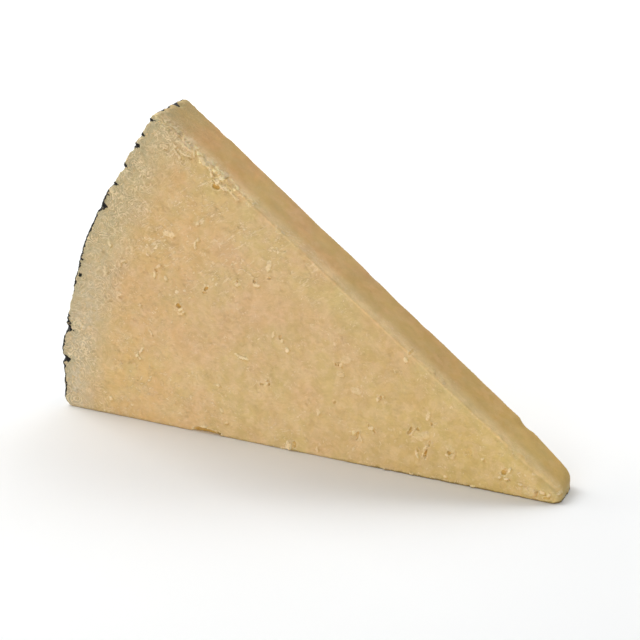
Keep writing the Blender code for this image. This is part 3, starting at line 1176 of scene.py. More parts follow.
@dataclass
class CheeseBody:
    """The body of the wedge: its outline, rounded edges, and the relief of a cut and handled piece."""

    cut: WheelCut
    rounding: EdgeRounding = field(default_factory=EdgeRounding)
    rind_steps: int = 28
    relief_spacing: float = 0.26
    kept_triangles: int = 196000
    fine_margin: float = 0.55
    # How much wider than a mark the slopes round it start
    mark_spread: float = 1.6
    least_half_width: float = 0.26
    seed: int = 41
    flat_base_fade: float = 1.5
    # Up to this height the thinned mesh is laid flat on the table
    flat_below: float = 0.03
    floor_roughness: float = 0.16
    lip_width: float = 0.34
    lip_height: float = 0.2
    groove_depth: float = 0.3
    # Where a flake's groove lies from it, and how far beyond its size a mark is worked out
    shaded_side: tuple = (0.36, 0.0, -0.3)
    mark_reach: float = 1.6
    # Stretches where the rim runs flatter than the wheel's circle: height of the middle, half length, depth
    rind_flats: tuple = ((1.0, 15.0, 1.4), (76.0, 20.0, 1.4))
    # Nicks that break the rind's front edge: height above the table, half width along the rim, depth
    rind_nicks: tuple = (
        (13.9, 1.1, 0.9),
        (23.0, 1.1, 0.9),
        (60.2, 1.3, 0.9),
        (67.4, 1.1, 0.7),
        (72.8, 1.5, 1.0),
        (79.0, 1.7, 1.1),
        (82.5, 0.9, 0.6),
        (87.1, 0.9, 0.6),
    )
    # Nicks at the rind's upper end: place across the thickness, half width, depth
    upper_rind_nicks: tuple = ((-3.9, 0.8, 0.7), (3.1, 1.3, 1.1))
    pits: tuple = (
        # By the tip
        Mark(30.9, 9.5, 1.1, 0.7, 80, 0.2, 0.15),
        Mark(20.7, 2.5, 0.8, 0.7, 0, 0.1, 0.2),
        Mark(20.7, 6.2, 0.7, 0.45, 35, 0.6, 0.85),
        Mark(19.9, 7.1, 0.4, 0.3, 0, 0.4, 0.6),
        Mark(11.1, 1.9, 0.8, 0.2, 85, 0.55, 0.45),
        Mark(8.1, 1.4, 0.8, 0.3, 0, 0.1, 0.5),
        # Right of the middle
        Mark(60.9, 11.9, 0.4, 0.2, 10, 0.45, 0.3),
        Mark(59.1, 10.4, 0.4, 0.2, 0, 0.55, 0.3),
        Mark(57.3, 20.5, 0.4, 0.3, 70, 0.75, 0.55),
        Mark(48.9, 35.0, 0.8, 0.2, -80, 0.5, 0.45),
        Mark(48.6, 12.7, 0.9, 0.2, 50, 0.85, 0.45),
        Mark(46.1, 7.7, 0.4, 0.2, 85, 0.45, 0.3),
        Mark(46.1, 13.6, 0.4, 0.3, 70, 0.65, 0.35),
        Mark(43.8, 7.1, 1.1, 0.3, 70, 1.1, 0.95),
        Mark(42.6, 10.1, 0.7, 0.2, 80, 0.45, 0.35),
        Mark(42.2, 15.7, 0.3, 0.3, 60, 0.45, 0.35),
        Mark(36.7, 8.6, 0.5, 0.4, 0, 0.75, 0.3),
        # Along the table
        Mark(111.4, 0.2, 3.2, 0.9, -3, 1.3, 0.9),
        Mark(107.9, 0.7, 0.8, 0.4, -15, 1.3, 1),
        Mark(83.7, 2.1, 0.7, 0.3, 85, 0.35, 0.6),
        # In the middle
        Mark(95.8, 46.5, 0.3, 0.3, 0, 0.5, 0.4),
        Mark(93.8, 17.6, 0.5, 0.2, 0, 0.55, 0.4),
        Mark(91.4, 17.8, 0.3, 0.3, 0, 0.65, 0.45),
        Mark(91.2, 48.3, 0.4, 0.3, 0, 0.45, 0.3),
        Mark(87.9, 32.1, 0.6, 0.2, 90, 0.75, 0.4),
        Mark(71.4, 16.6, 0.4, 0.2, 60, 0.45, 0.3),
        Mark(70.8, 27.6, 0.4, 0.2, 90, 0.6, 0.4),
        Mark(70.0, 27.7, 0.4, 0.2, 90, 0.6, 0.4),
        Mark(64.4, 8.2, 1.0, 0.2, 90, 0.65, 0.4),
        # Under the rind
        Mark(126.4, 44.8, 0.4, 0.3, 0, 0.45, 0.35),
        Mark(119.5, 35.7, 0.6, 0.5, 0, 0.75, 1),
        Mark(111.6, 40.9, 0.4, 0.3, 0, 0.25, 0.5),
        Mark(110.8, 42.1, 0.6, 0.4, 50, 0.75, 0.85),
        Mark(101.2, 45.8, 0.3, 0.2, 0, 0.45, 0.3),
        # At the near upper edge
        Mark(107.9, 72.8, 0.4, 0.2, 90, 0.45, 0.3),
        Mark(107.5, 71.5, 0.9, 0.5, -20, 0.6, 0.9),
    )
    flakes: tuple = (
        # By the tip
        Mark(27.1, 8.7, 0.3, 0.2, 0, -0.25, 0.85),
        Mark(21.8, 4.5, 0.4, 0.2, 30, -0.3, 0.85),
        Mark(19.9, 4.6, 0.6, 0.2, 0, -0.35, 1),
        Mark(19.1, 7.2, 0.5, 0.2, 80, -0.35, 1),
        Mark(13.7, 3.2, 0.3, 0.2, 0, -0.25, 0.8),
        Mark(13.2, 2.3, 1.4, 0.9, 0, -0.2, 0.45),
        Mark(11.7, 2.6, 0.3, 0.2, 60, -0.3, 0.8),
        Mark(5.8, 4.2, 0.3, 0.2, 0, -0.2, 0.6),
        Mark(5.3, 2.7, 0.4, 0.3, 0, -0.25, 0.85),
        # Right of the middle
        Mark(60.2, 11.2, 0.6, 0.5, 0, -0.45, 0.85),
        Mark(68.1, 29.2, 1.3, 0.8, 30, -0.12, 0.3),
        Mark(64.7, 21.0, 1.2, 0.7, 0, -0.12, 0.45),
        Mark(69.6, 24.9, 0.9, 0.5, -20, -0.15, 0.35),
        Mark(57.4, 20.6, 0.7, 0.5, 40, -0.15, 0.35),
        Mark(46.3, 11.6, 1.5, 0.8, -30, -0.15, 0.35),
        Mark(35.8, 8.1, 0.9, 0.6, 60, -0.15, 0.35),
        Mark(58.4, 21.0, 0.2, 0.2, 0, -0.2, 0.6),
        Mark(58.2, 20.0, 0.6, 0.4, 70, -0.35, 0.85),
        Mark(49.9, 32.5, 0.5, 0.4, 80, -0.3, 0.75),
        Mark(47.9, 12.3, 0.9, 0.2, 45, -0.25, 0.6),
        Mark(46.4, 6.4, 0.8, 0.2, -65, -0.3, 0.85),
        Mark(44.3, 12.3, 1.2, 0.8, 0, -0.25, 0.3),
        Mark(43.9, 8.5, 0.7, 0.2, 65, -0.4, 1),
        Mark(43.2, 17.7, 1.0, 0.4, 60, -0.3, 0.6),
        Mark(37.5, 7.8, 0.4, 0.2, 0, -0.3, 0.9),
        Mark(36.6, 9.7, 1.1, 0.7, -20, -0.2, 0.3),
        Mark(15.8, 3.8, 0.5, 0.3, 20, -0.25, 0.8),
        Mark(9.6, 2.7, 0.6, 0.3, -10, -0.25, 0.8),
        Mark(7.6, 2.3, 0.4, 0.3, 40, -0.25, 0.8),
        # Along the table
        Mark(55.5, 0.2, 0.7, 0.3, 0, -0.3, 0.9),
        Mark(48.0, 0.4, 0.5, 0.3, 0, -0.3, 0.9),
        Mark(38.0, 1.6, 0.4, 0.3, 0, -0.3, 0.9),
        Mark(29.8, 0.4, 0.6, 0.3, 0, -0.3, 0.9),
        Mark(141.9, 4.9, 0.5, 0.3, -50, -0.25, 0.65),
        Mark(115.5, 0.6, 0.3, 0.2, 0, -0.25, 0.7),
        Mark(112.0, 2.0, 0.7, 0.2, 10, -0.3, 0.7),
        Mark(104.9, 4.3, 0.5, 0.2, 40, -0.25, 0.6),
        Mark(87.1, 0.2, 0.8, 0.2, -10, -0.35, 0.7),
        Mark(85.4, 1.6, 1.1, 0.7, 70, -0.9, 1),
        Mark(76.6, 1.9, 0.6, 0.2, 90, -0.25, 0.65),
        # In the middle
        Mark(95.3, 45.6, 0.8, 0.5, 0, -0.35, 0.7),
        Mark(92.3, 19.2, 0.3, 0.2, 0, -0.3, 0.95),
        Mark(92.1, 18.2, 0.5, 0.2, 10, -0.3, 0.95),
        Mark(91.3, 51.8, 1.2, 0.5, 90, -0.3, 0.65),
        Mark(90.2, 32.7, 0.7, 0.2, 90, -0.25, 0.65),
        Mark(87.4, 31.2, 0.5, 0.3, 60, -0.3, 0.65),
        Mark(85.9, 28.8, 0.5, 0.5, 90, -0.35, 0.95),
        Mark(76.3, 12.8, 0.6, 0.4, 80, -0.25, 0.6),
        Mark(69.4, 27.5, 0.4, 0.3, 80, -0.25, 0.7),
        Mark(65.5, 8.8, 0.4, 0.4, -40, -0.35, 0.95),
        Mark(63.5, 7.7, 0.8, 0.2, -65, -0.25, 0.75),
        # Under the rind
        Mark(142.7, 42.2, 1.0, 0.7, 80, -0.2, 0.5),
        Mark(141.4, 49.9, 0.6, 0.4, 90, -0.25, 0.75),
        Mark(138.5, 35.9, 0.5, 0.5, 90, -0.2, 0.6),
        Mark(138.1, 44.7, 0.6, 0.2, 70, -0.25, 0.65),
        Mark(137.0, 45.7, 0.6, 0.3, 20, -0.25, 0.65),
        Mark(133.1, 19.0, 0.5, 0.2, 85, -0.3, 0.75),
        Mark(132.4, 18.3, 0.4, 0.2, 0, -0.25, 0.65),
        Mark(131.8, 20.6, 0.7, 0.2, 45, -0.3, 0.8),
        Mark(131.7, 33.9, 0.4, 0.3, 80, -0.25, 0.65),
        Mark(129.1, 48.9, 0.4, 0.3, 0, -0.25, 0.65),
        Mark(128.7, 26.4, 0.7, 0.2, -65, -0.25, 0.6),
        Mark(127.0, 43.6, 0.7, 0.3, 85, -0.3, 0.85),
        Mark(125.8, 46.0, 0.6, 0.2, 35, -0.2, 0.6),
        Mark(123.4, 43.0, 0.5, 0.4, -40, -0.3, 0.75),
        Mark(122.5, 55.9, 1.4, 0.7, 0, -0.3, 0.7),
        Mark(119.0, 33.7, 0.6, 0.2, 0, -0.2, 0.6),
        Mark(118.8, 34.9, 0.6, 0.3, 35, -0.3, 0.85),
        Mark(118.0, 34.3, 0.3, 0.3, 0, -0.25, 0.85),
        Mark(114.2, 54.0, 0.9, 0.2, 80, -0.25, 0.75),
        Mark(113.3, 55.6, 0.5, 0.2, 60, -0.25, 0.65),
        Mark(111.2, 42.8, 0.4, 0.3, 0, -0.2, 0.6),
        Mark(107.4, 14.9, 0.5, 0.3, -30, -0.3, 0.8),
        Mark(106.5, 7.8, 0.6, 0.3, -40, -0.25, 0.6),
        Mark(101.1, 44.9, 0.8, 0.4, 20, -0.3, 0.65),
        Mark(99.9, 24.4, 1.6, 0.3, 0, -0.4, 1),
        Mark(97.8, 21.5, 0.3, 0.2, 0, -0.2, 0.6),
        # At the near upper edge
        Mark(123.3, 79.9, 0.4, 0.3, 0, -0.25, 0.65),
        Mark(119.6, 79.3, 1.4, 0.25, -51, -0.25, 0.7),
        Mark(117.1, 79.2, 1.6, 0.25, -24, -0.25, 0.7),
        Mark(116.9, 81.6, 2.2, 0.4, -27, -0.3, 0.6),
        Mark(110.6, 77.4, 1.9, 0.45, -43, -0.35, 0.7),
        Mark(120.2, 81.3, 0.6, 0.3, -30, -0.25, 0.6),
        Mark(116.4, 82.0, 1.3, 0.5, -30, -0.3, 0.75),
        Mark(114.1, 79.9, 0.9, 0.2, -75, -0.25, 0.65),
        Mark(113.3, 60.2, 0.5, 0.3, 40, -0.25, 0.65),
        Mark(110.3, 77.6, 1.3, 0.5, -45, -0.3, 0.65),
        Mark(108.6, 74.7, 0.6, 0.3, -70, -0.3, 0.75),
        Mark(107.1, 73.1, 0.7, 0.5, 0, -0.45, 1),
        Mark(105.6, 74.3, 0.7, 0.4, 35, -0.4, 0.9),
        Mark(105.4, 71.6, 1.0, 0.6, -20, -0.4, 0.85),
        Mark(102.2, 70.0, 1.6, 0.3, -33, -0.25, 0.5),
    )
    # Dents in the far upper edge: distance up the cut from where the cuts meet, half length, depth
    far_edge_dents: tuple = ((25.6, 2.6, 0.5), (63.8, 2.4, 0.15), (83.1, 2.4, 0.15), (139.6, 2.2, 0.25))
    nick_reach_across: float = 1.3
    nick_reach_down: float = 1.2
    dimple_clearance: float = 2.6
    rind_dimples: int = 70
    dimple_size: tuple = (0.9, 1.8)
    dimple_stretch: tuple = (0.8, 1.5)
    dimple_depth: tuple = (0.3, 0.7)
    small_pits_each_face: int = 70
    small_pits_upper_cut: int = 14
    pit_size: tuple = (0.4, 1.1)
    pit_stretch: tuple = (1.0, 2.4)
    pit_depth_share: tuple = (0.3, 0.6)
    # What wiping and pressing left of a small pit's depth, on a broad face and on the upper cut
    pit_filled: tuple = (0.55, 0.12)
    # Gentle swells of a cut face and of the rind: breadth and depth
    face_swells: tuple = ((13.0, 0.22), (4.5, 0.10))
    rind_swells: tuple = ((9.0, 0.55), (3.2, 0.22))

    def round_corner(self, bm: bmesh.types.BMesh, place: Vector, size: float) -> None:
        """Rounds the outline's corner nearest to a place.

        Args:
            bm: The flat outline.
            place: Where the corner is.
            size: How far along each side the rounding starts.
        """
        corner = min(bm.verts, key=lambda vert: (vert.co - place).length)
        bmesh.ops.bevel(
            bm,
            geom=[corner],
            offset=size,
            segments=self.rounding.segments,
            profile=0.5,
            affect="VERTICES",
            material=-1,
        )

    def round_edges(
        self, bm: bmesh.types.BMesh, size: float, *tests: Callable[[bmesh.types.BMVert], bool]
    ) -> None:
        """Rounds each edge whose two ends pass every test.

        Args:
            bm: The wedge.
            size: How far on each side the rounding starts.
            tests: What both ends of an edge have to pass.
        """
        edges = [edge for edge in bm.edges if all(test(vert) for vert in edge.verts for test in tests)]
        bmesh.ops.bevel(
            bm,
            geom=edges,
            offset=size,
            segments=self.rounding.segments,
            profile=0.5,
            affect="EDGES",
            material=-1,
            clamp_overlap=True,
        )

    def at_tip(self, vert: bmesh.types.BMVert) -> bool:
        """Tells whether a vertex is at the tip."""
        return vert.co.x > -20

    def by_rind(self, vert: bmesh.types.BMVert) -> bool:
        """Tells whether a vertex is on the rind's side."""
        return vert.co.x < -110

    def in_front(self, vert: bmesh.types.BMVert) -> bool:
        """Tells whether a vertex is in the front face."""
        return vert.co.y < self.cut.y_front + 0.01

    def in_back(self, vert: bmesh.types.BMVert) -> bool:
        """Tells whether a vertex is in the back face."""
        return vert.co.y > self.cut.back_y(vert.co.x) - 0.01

    def on_table(self, vert: bmesh.types.BMVert) -> bool:
        """Tells whether a vertex is on the table."""
        return vert.co.z < 0.01

    def on_upper_cut(self, vert: bmesh.types.BMVert) -> bool:
        """Tells whether a vertex is in the upper cut."""
        return vert.co.dot(self.cut.into_upper_cut) < 0.01

    def outline(self) -> bmesh.types.BMesh:
        """Draws the front face: the rim spun about the wheel's centre, the two cuts and the blunt tip.

        Returns:
            The flat outline, filled.
        """
        cut = self.cut
        bm = bmesh.new()
        lower_end = cut.rim_point(cut.rim_angle(0), cut.y_front)
        upper_end = cut.rim_point(cut.top_rim_angle, cut.y_front)
        start = bm.verts.new(lower_end)
        bmesh.ops.spin(
            bm,
            geom=[start],
            cent=(cut.centre_beyond_cuts, cut.y_front, -cut.centre_below_table),
            axis=(0, 1, 0),
            angle=cut.top_rim_angle - cut.rim_angle(0),
            steps=self.rind_steps,
        )
        last = min(bm.verts, key=lambda vert: (vert.co - upper_end).length)
        rise = cut.tip_lost * math.tan(cut.angle)
        tip_high = bm.verts.new((-cut.tip_lost, cut.y_front, rise))
        tip_low = bm.verts.new((-cut.tip_lost, cut.y_front, 0))
        for pair in ((last, tip_high), (tip_high, tip_low), (tip_low, start)):
            bm.edges.new(pair)
        bmesh.ops.contextual_create(bm, geom=bm.edges[:])
        self.round_corner(bm, lower_end, self.rounding.lower_rind_corner)
        self.round_corner(bm, upper_end, self.rounding.upper_rind_corner)
        return bm

    def blank(self) -> bpy.types.Mesh:
        """Makes the smooth wedge: outline, thickness and rounded edges.

        Returns:
            The mesh.
        """
        cut, size = self.cut, self.rounding
        bm = self.outline()
        extruded = bmesh.ops.extrude_face_region(bm, geom=bm.faces[:])
        for vert in (item for item in extruded["geom"] if isinstance(item, bmesh.types.BMVert)):
            if self.at_tip(vert):
                vert.co.x -= cut.tip_set_back_behind
                vert.co.z += cut.tip_set_back_behind * math.tan(cut.angle) * (vert.co.z > 0)
            vert.co.y = cut.back_y(vert.co.x)
        bmesh.ops.recalc_face_normals(bm, faces=bm.faces[:])
        self.round_edges(bm, size.tip_corner_height, self.at_tip, self.on_upper_cut)
        self.round_edges(bm, size.tip_front_corner, self.at_tip, self.in_front)
        self.round_edges(bm, size.tip_back_corner, self.at_tip, self.in_back)
        self.round_edges(bm, size.near_upper_edge, self.on_upper_cut, self.in_front)
        self.round_edges(bm, size.far_upper_edge, self.on_upper_cut, self.in_back)
        self.round_edges(bm, size.table_edge, self.on_table, self.in_front)
        self.round_edges(bm, size.table_edge, self.on_table, self.in_back)
        self.round_edges(bm, size.rind_edge, self.by_rind, self.in_front)
        self.round_edges(bm, size.rind_edge, self.by_rind, self.in_back)
        return mesh_of(bm, "wedge_blank")

    def lobes(self, mark: Mark, grown: float = 0.0) -> list[Bowl]:
        """Breaks a mark of the front face into overlapping bowls, so that its outline is uneven.

        Args:
            mark: The mark.
            grown: How much further than usual each bowl reaches.

        Returns:
            The bowls.
        """
        draw = random.Random(round(mark.distance * 100 + mark.height))
        found = []
        for share in (0.95, 0.7, 0.5, 0.4):
            long = max(mark.half_length, self.least_half_width) * share
            wide = max(mark.half_width, self.least_half_width) * max(share, 0.75)
            centre = Vector((-mark.distance, self.cut.y_front, mark.height))
            centre += mark.along * draw.uniform(-1, 1) * (mark.half_length - long)
            centre += mark.across * draw.uniform(-1, 1) * (mark.half_width - wide)
            long, wide = long * self.mark_spread + grown, wide * self.mark_spread + grown
            along = Matrix.Rotation(draw.uniform(-0.25, 0.25), 3, "Y") @ mark.along
            depth = mark.depth * draw.uniform(0.7, 1.0)
            found.append(Bowl(centre, INTO_FRONT, along, long, wide, depth, True))
        return found

    def parts_of(self, mark: Mark, points: np.ndarray) -> tuple[np.ndarray, np.ndarray, np.ndarray]:
        """Says how points take part in a mark of the front face.

        Args:
            mark: The mark.
            points: One row a point.

        Returns:
            How far each point goes in, its share of the mark from 0 to 1, and its share of what lies
            beside the mark: the torn lip round an opening, or the groove on the shaded side of a flake.
        """
        depths = deepest(self.lobes(mark), points)
        share = np.clip(depths / mark.depth, 0, 1)
        if mark.depth > 0:
            around = np.clip(deepest(self.lobes(mark, self.lip_width), points) / mark.depth, 0, 1)
        else:
            around = np.clip(deepest(self.lobes(mark), points - self.shaded_side) / mark.depth, 0, 1)
        return depths, share, ramp(around, 0, 0.35) * (1 - ramp(share, 0, 0.25))

    def dimple(self, angle: float, y: float, half_width: float, half_length: float, depth: float) -> Bowl:
        """Makes a bowl in the rind."""
        inward = Vector((math.cos(angle), 0, -math.sin(angle)))
        return Bowl(self.cut.rim_point(angle, y), inward, INTO_FRONT, half_length, half_width, depth)

    def flattened(self, points: np.ndarray) -> np.ndarray:
        """Measures how far the flatter stretches take the rim in."""
        return sum(bowl.share(points) * bowl.depth for bowl in self.flats())

    def flats(self) -> Iterator[Bowl]:
        """Yields the flatter stretches of the rim."""
        for height, half_length, depth in self.rind_flats:
            yield self.dimple(self.cut.rim_angle(height), 0, half_length, 100, depth)

    def rind_bowls(self, draw: random.Random) -> Iterator[Bowl]:
        """Yields flatter stretches of the rim, nicks in its edges, and the dimples that the mould left.

        Args:
            draw: The random numbers.

        Yields:
            The bowls.
        """
        cut = self.cut
        yield from self.flats()
        for height, half_width, depth in self.rind_nicks:
            angle = cut.rim_angle(height)
            nick = self.dimple(angle, cut.y_front, half_width, self.nick_reach_across, depth)
            yield replace(nick, sharp=True)
        for y, half_width, depth in self.upper_rind_nicks:
            nick = self.dimple(cut.top_rim_angle, y, self.nick_reach_down, half_width, depth)
            yield replace(nick, sharp=True)
        for _ in range(self.rind_dimples):
            angle = draw.uniform(cut.rim_angle(0), cut.top_rim_angle)
            y = draw.uniform(cut.y_front + self.dimple_clearance, -cut.y_front)
            size = draw.uniform(*self.dimple_size)
            length = size * draw.uniform(*self.dimple_stretch)
            yield self.dimple(angle, y, size, length, draw.uniform(*self.dimple_depth))

    def place_on(self, draw: random.Random, side: Side) -> Vector:
        """Draws a point on a cut side, clear of its edges.

        Args:
            draw: The random numbers.
            side: The side.

        Returns:
            The point.
        """
        cut = self.cut
        distance = cut.lower_length * math.sqrt(draw.uniform(0.01, 0.95))
        if side is Side.UPPER:
            centre = cut.up_the_cut * distance
            centre.y = draw.uniform(0.6 * cut.y_front, 0.6 * cut.back_y(centre.x))
            return centre
        angle = cut.angle * draw.uniform(0.04, 0.96)
        centre = Vector((-distance * math.cos(angle), cut.y_front, distance * math.sin(angle)))
        if side is Side.BACK:
            centre.y = cut.back_y(centre.x)
        return centre

    def inward(self, side: Side) -> Vector:
        """Gives the direction square into a cut side."""
        return {Side.FRONT: INTO_FRONT, Side.BACK: -INTO_FRONT, Side.UPPER: self.cut.into_upper_cut}[side]

    def small_bowls(self, draw: random.Random) -> Iterator[Bowl]:
        """Yields small openings strewn over the cut sides, each turned its own way.

        Args:
            draw: The random numbers.

        Yields:
            The bowls.
        """
        each = self.small_pits_each_face
        counts = {Side.FRONT: each, Side.BACK: each, Side.UPPER: self.small_pits_upper_cut}
        for side, count in counts.items():
            inward = self.inward(side)
            for _ in range(count):
                centre = self.place_on(draw, side)
                size = draw.uniform(*self.pit_size)
                turn = Matrix.Rotation(draw.uniform(0, math.pi), 3, inward)
                along = turn @ inward.orthogonal().normalized()
                length = size * draw.uniform(*self.pit_stretch)
                depth = size * draw.uniform(*self.pit_depth_share) * self.pit_filled[side is Side.UPPER]
                yield Bowl(centre, inward, along, length, size, depth, True)

    def bowls(self) -> Iterator[Bowl]:
        """Yields every scoop of the surface, in the order that their random numbers are drawn.

        Yields:
            The bowls.
        """
        draw = random.Random(self.seed)
        for distance, half_length, depth in self.far_edge_dents:
            centre = self.cut.up_the_cut * distance
            centre.y = self.cut.back_y(centre.x)
            inward = (self.cut.into_upper_cut - INTO_FRONT).normalized()
            yield Bowl(centre, inward, self.cut.up_the_cut, half_length, half_length, depth)
        yield from self.rind_bowls(draw)
        yield from self.small_bowls(draw)

    def fine_relief(self, points: np.ndarray) -> np.ndarray:
        """Works out the fine relief: grain, wire marks under the rind, shallow breaks and crumbled edges.

        Args:
            points: One row a point.

        Returns:
            How far each point goes out along its normal.
        """
        cut = self.cut
        grain, breaks, marks = Grain(3), Grain(5), Grain(8)
        rim, upper = cut.rim_depth(points), cut.upper_depth(points)
        front = points[:, 1] - cut.y_front
        under_rind = ramp(rim, 26, 5)
        on_upper = ramp(upper, 1.2, 0.3) * ramp(front, 0.8, 2.4)
        rough = 1 + 0.6 * under_rind - 0.6 * on_upper
        waves = 0.07 * grain.at(points, 1.2) + 0.06 * breaks.at(points, 2.4)
        out = rough * (waves + 0.03 * breaks.at(points, 0.6))
        lively = 0.45 + 0.95 * ramp(grain.at(points + 60, 8.0), -0.35, 0.35)
        out *= 0.6 + 0.4 * lively
        warped = points + 1.1 * np.stack([marks.at(points + shift, 2.6) for shift in (0, 31, 67)], axis=1)
        stretched = warped @ np.array(Matrix.Rotation(0.5, 3, "Y")) / (2.3, 1.0, 1.0)
        ridges = np.clip(1 - 3.2 * np.abs(marks.at(stretched, 1.0)), 0, 1)
        out += (0.03 * lively + 0.09 * under_rind) * ridges * (1 - on_upper)
        torn = ramp(breaks.at(points, 3.2) + 0.5 * grain.at(points, 1.1), 0.42, 0.62) * (1 - 0.8 * on_upper)
        out += lively * torn * (0.16 * marks.at(points, 0.7) - 0.1)
        raised = ramp(breaks.at(points + 90, 2.4) + 0.5 * grain.at(points, 0.8), 0.5, 0.66)
        raised *= 1 - 0.8 * on_upper
        out += 0.13 * lively * raised
        from_edge = np.hypot(upper, front)
        up_the_cut = points @ np.array(cut.up_the_cut)
        ragged = ramp(from_edge, 3.2, 1.0) * (0.12 + 0.88 * ramp(up_the_cut, 112, 128))
        out -= ragged * 0.38 * ramp(breaks.at(points + 50, 2.1) + 0.4 * grain.at(points, 0.9), 0.12, 0.4)
        distance = -points[:, 0]
        crumbled = ramp(points[:, 2], 1.8, 0.3) * ramp(front, 1.4, 0.2)
        crumbled *= ramp(distance, 60, 52) * ramp(distance, 8, 16)
        out -= crumbled * 0.25 * ramp(grain.at(points + 20, 1.2), 0.0, 0.3)
        return out

    @staticmethod
    def strayed(points: np.ndarray) -> np.ndarray:
        """Shifts points a little at random, so that what is drawn about them has a ragged outline.

        Args:
            points: One row a point.

        Returns:
            The shifted points.
        """
        coarse, fine = Grain(13), Grain(14)
        shifts = [
            0.3 * coarse.at(points + far, 1.5) + 0.16 * fine.at(points + far, 0.5)
            for far in (0, 40, 80)
        ]
        return points + np.stack(shifts, axis=1)

    def at_marks(self, points: np.ndarray, margin: float) -> np.ndarray:
        """Tells which points lie at the marks of the front face.

        Args:
            points: One row a point.
            margin: How far round each mark still counts.

        Returns:
            True for each point at a mark.
        """
        found = np.zeros(len(points), bool)
        front = np.nonzero(points[:, 1] < self.cut.y_front + 2)[0]
        for mark in self.pits + self.flakes:
            found[front[mark.reaches(points[front], margin)]] = True
        return found

    def refine(self, mesh: bpy.types.Mesh) -> None:
        """Splits the faces at the marks, so that narrow slots and thin flakes have a shape of their own.

        Args:
            mesh: The mesh, which is changed.
        """
        chosen = np.nonzero(self.at_marks(rows_of(mesh.polygons, "center"), self.fine_margin))[0]
        bm = bmesh.new()
        bm.from_mesh(mesh)
        bm.faces.ensure_lookup_table()
        edges = {edge for index in chosen for edge in bm.faces[index].edges}
        bmesh.ops.subdivide_edges(bm, edges=list(edges), cuts=1, use_grid_fill=True)
        bm.to_mesh(mesh)
        bm.free()

    def thin(self, body: bpy.types.Object) -> None:
        """Thins the mesh to the triangles that it may have, but not at the marks.

        Args:
            body: The body, whose mesh is changed.
        """
        body.data = applied(body, "TRIANGULATE")
        spare = np.nonzero(~self.at_marks(rows_of(body.data.vertices, "co"), self.fine_margin - 0.1))[0]
        body.vertex_groups.new(name="spare").add(spare.tolist(), 1.0, "REPLACE")
        share = min(self.kept_triangles / len(body.data.polygons), 1)
        body.data = applied(body, "DECIMATE", decimate_type="COLLAPSE", ratio=share, vertex_group="spare")
        body.vertex_groups.clear()

    def relieve(self, mesh: bpy.types.Mesh) -> None:
        """Gives the smooth wedge its relief, and leaves its lower face flat.

        Args:
            mesh: The mesh, which is changed.
        """
        cut = self.cut
        points = rows_of(mesh.vertices, "co")
        strayed = self.strayed(points)
        moved = points.copy()
        close = np.nonzero(points[:, 1] < cut.y_front + 5)[0]
        crumble = Grain(15).at(points[close], 0.7)
        uneven = np.clip(0.55 + 1.3 * Grain(17).at(points[close], 0.9), 0, 1)
        for mark in self.pits + self.flakes:
            chosen = mark.reaches(strayed[close], self.mark_reach)
            near = close[chosen]
            depths, share, beside = self.parts_of(mark, strayed[near])
            moved[near, 1] += depths + self.floor_roughness * crumble[chosen] * ramp(share, 0, 0.3)
            step = -self.lip_height if mark.depth > 0 else self.groove_depth
            moved[near, 1] += step * beside * uneven[chosen]
        for bowl in self.bowls():
            bowl.push(strayed if bowl.sharp else points, moved)
        on_rind = np.clip(1 - cut.rim_depth(points) / 1.5, 0, 1)
        places = [Vector(point) for point in points]
        face_swell, rind_swell = (
            np.array([
                sum(depth * noise.noise(place / breadth) for breadth, depth in waves)
                for place in places
            ])
            for waves in (self.face_swells, self.rind_swells)
        )
        outward = face_swell + on_rind * (rind_swell - face_swell) + self.fine_relief(points)
        moved += rows_of(mesh.vertices, "normal") * outward[:, None]
        lifted = np.clip(points[:, 2] / self.flat_base_fade, 0, 1)
        moved[:, 2] = np.maximum(points[:, 2] + (moved[:, 2] - points[:, 2]) * lifted, 0)
        mesh.vertices.foreach_set("co", moved.ravel())
        mesh.update()

    def mark_tints(self, mesh: bpy.types.Mesh) -> None:
        """Keeps on the mesh where openings are brown, where the grooves beside flakes are browned as
        painted shadow, and where flakes are pale.

        Args:
            mesh: The finished mesh, still about the cuts.
        """
        points = self.strayed(rows_of(mesh.vertices, "co"))
        crumble = 0.5 + 0.9 * Grain(16).at(points, 0.5)
        front = np.nonzero(points[:, 1] < self.cut.y_front + 4)[0]
        opening_and_groove_shade, flake = np.zeros(len(points)), np.zeros(len(points))
        for mark in self.pits + self.flakes:
            near = front[mark.reaches(points[front], self.mark_reach)]
            _, share, beside = self.parts_of(mark, points[near])
            if mark.depth > 0:
                brown = mark.tint * ramp(share, 0.12, 0.55)
                pale = mark.tint * beside * np.clip(crumble[near] + 0.1, 0, 1)
            else:
                # Painted shadow: the groove on the flake's shaded side is browned
                brown = 0.5 * mark.tint * beside
                pale = mark.tint * np.clip(share * 2.4, 0, 1) * np.clip(crumble[near] + 0.5, 0, 1)
            opening_and_groove_shade[near] = np.maximum(opening_and_groove_shade[near], brown)
            flake[near] = np.maximum(flake[near], pale)
        set_attribute(mesh, "opening_and_groove_shade", opening_and_groove_shade)
        set_attribute(mesh, "flake", flake)

    def build(self) -> bpy.types.Object:
        """Makes the body.

        Returns:
            The body, in millimetres about the cuts.
        """
        body = placed_object("cheese_body", self.blank())
        body.data = applied(body, "REMESH", mode="VOXEL", voxel_size=self.relief_spacing)
        self.refine(body.data)
        self.relieve(body.data)
        self.thin(body)
        points = rows_of(body.data.vertices, "co")
        points[points[:, 2] < self.flat_below, 2] = 0
        body.data.vertices.foreach_set("co", points.ravel())
        self.mark_tints(body.data)
        body.data.shade_smooth()
        return body

    def dress(self, body: bpy.types.Object, patterns: SharedPatterns, finish: PasteFinish) -> None:
        """Gives the body its finish and its part in the frame.

        Args:
            body: The body.
            patterns: The shared node groups.
            finish: The finish.
        """
        body.data.materials.clear()
        body.data.materials.append(finish.material(patterns))
        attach(body, "root")
        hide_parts("cheese_wedge")


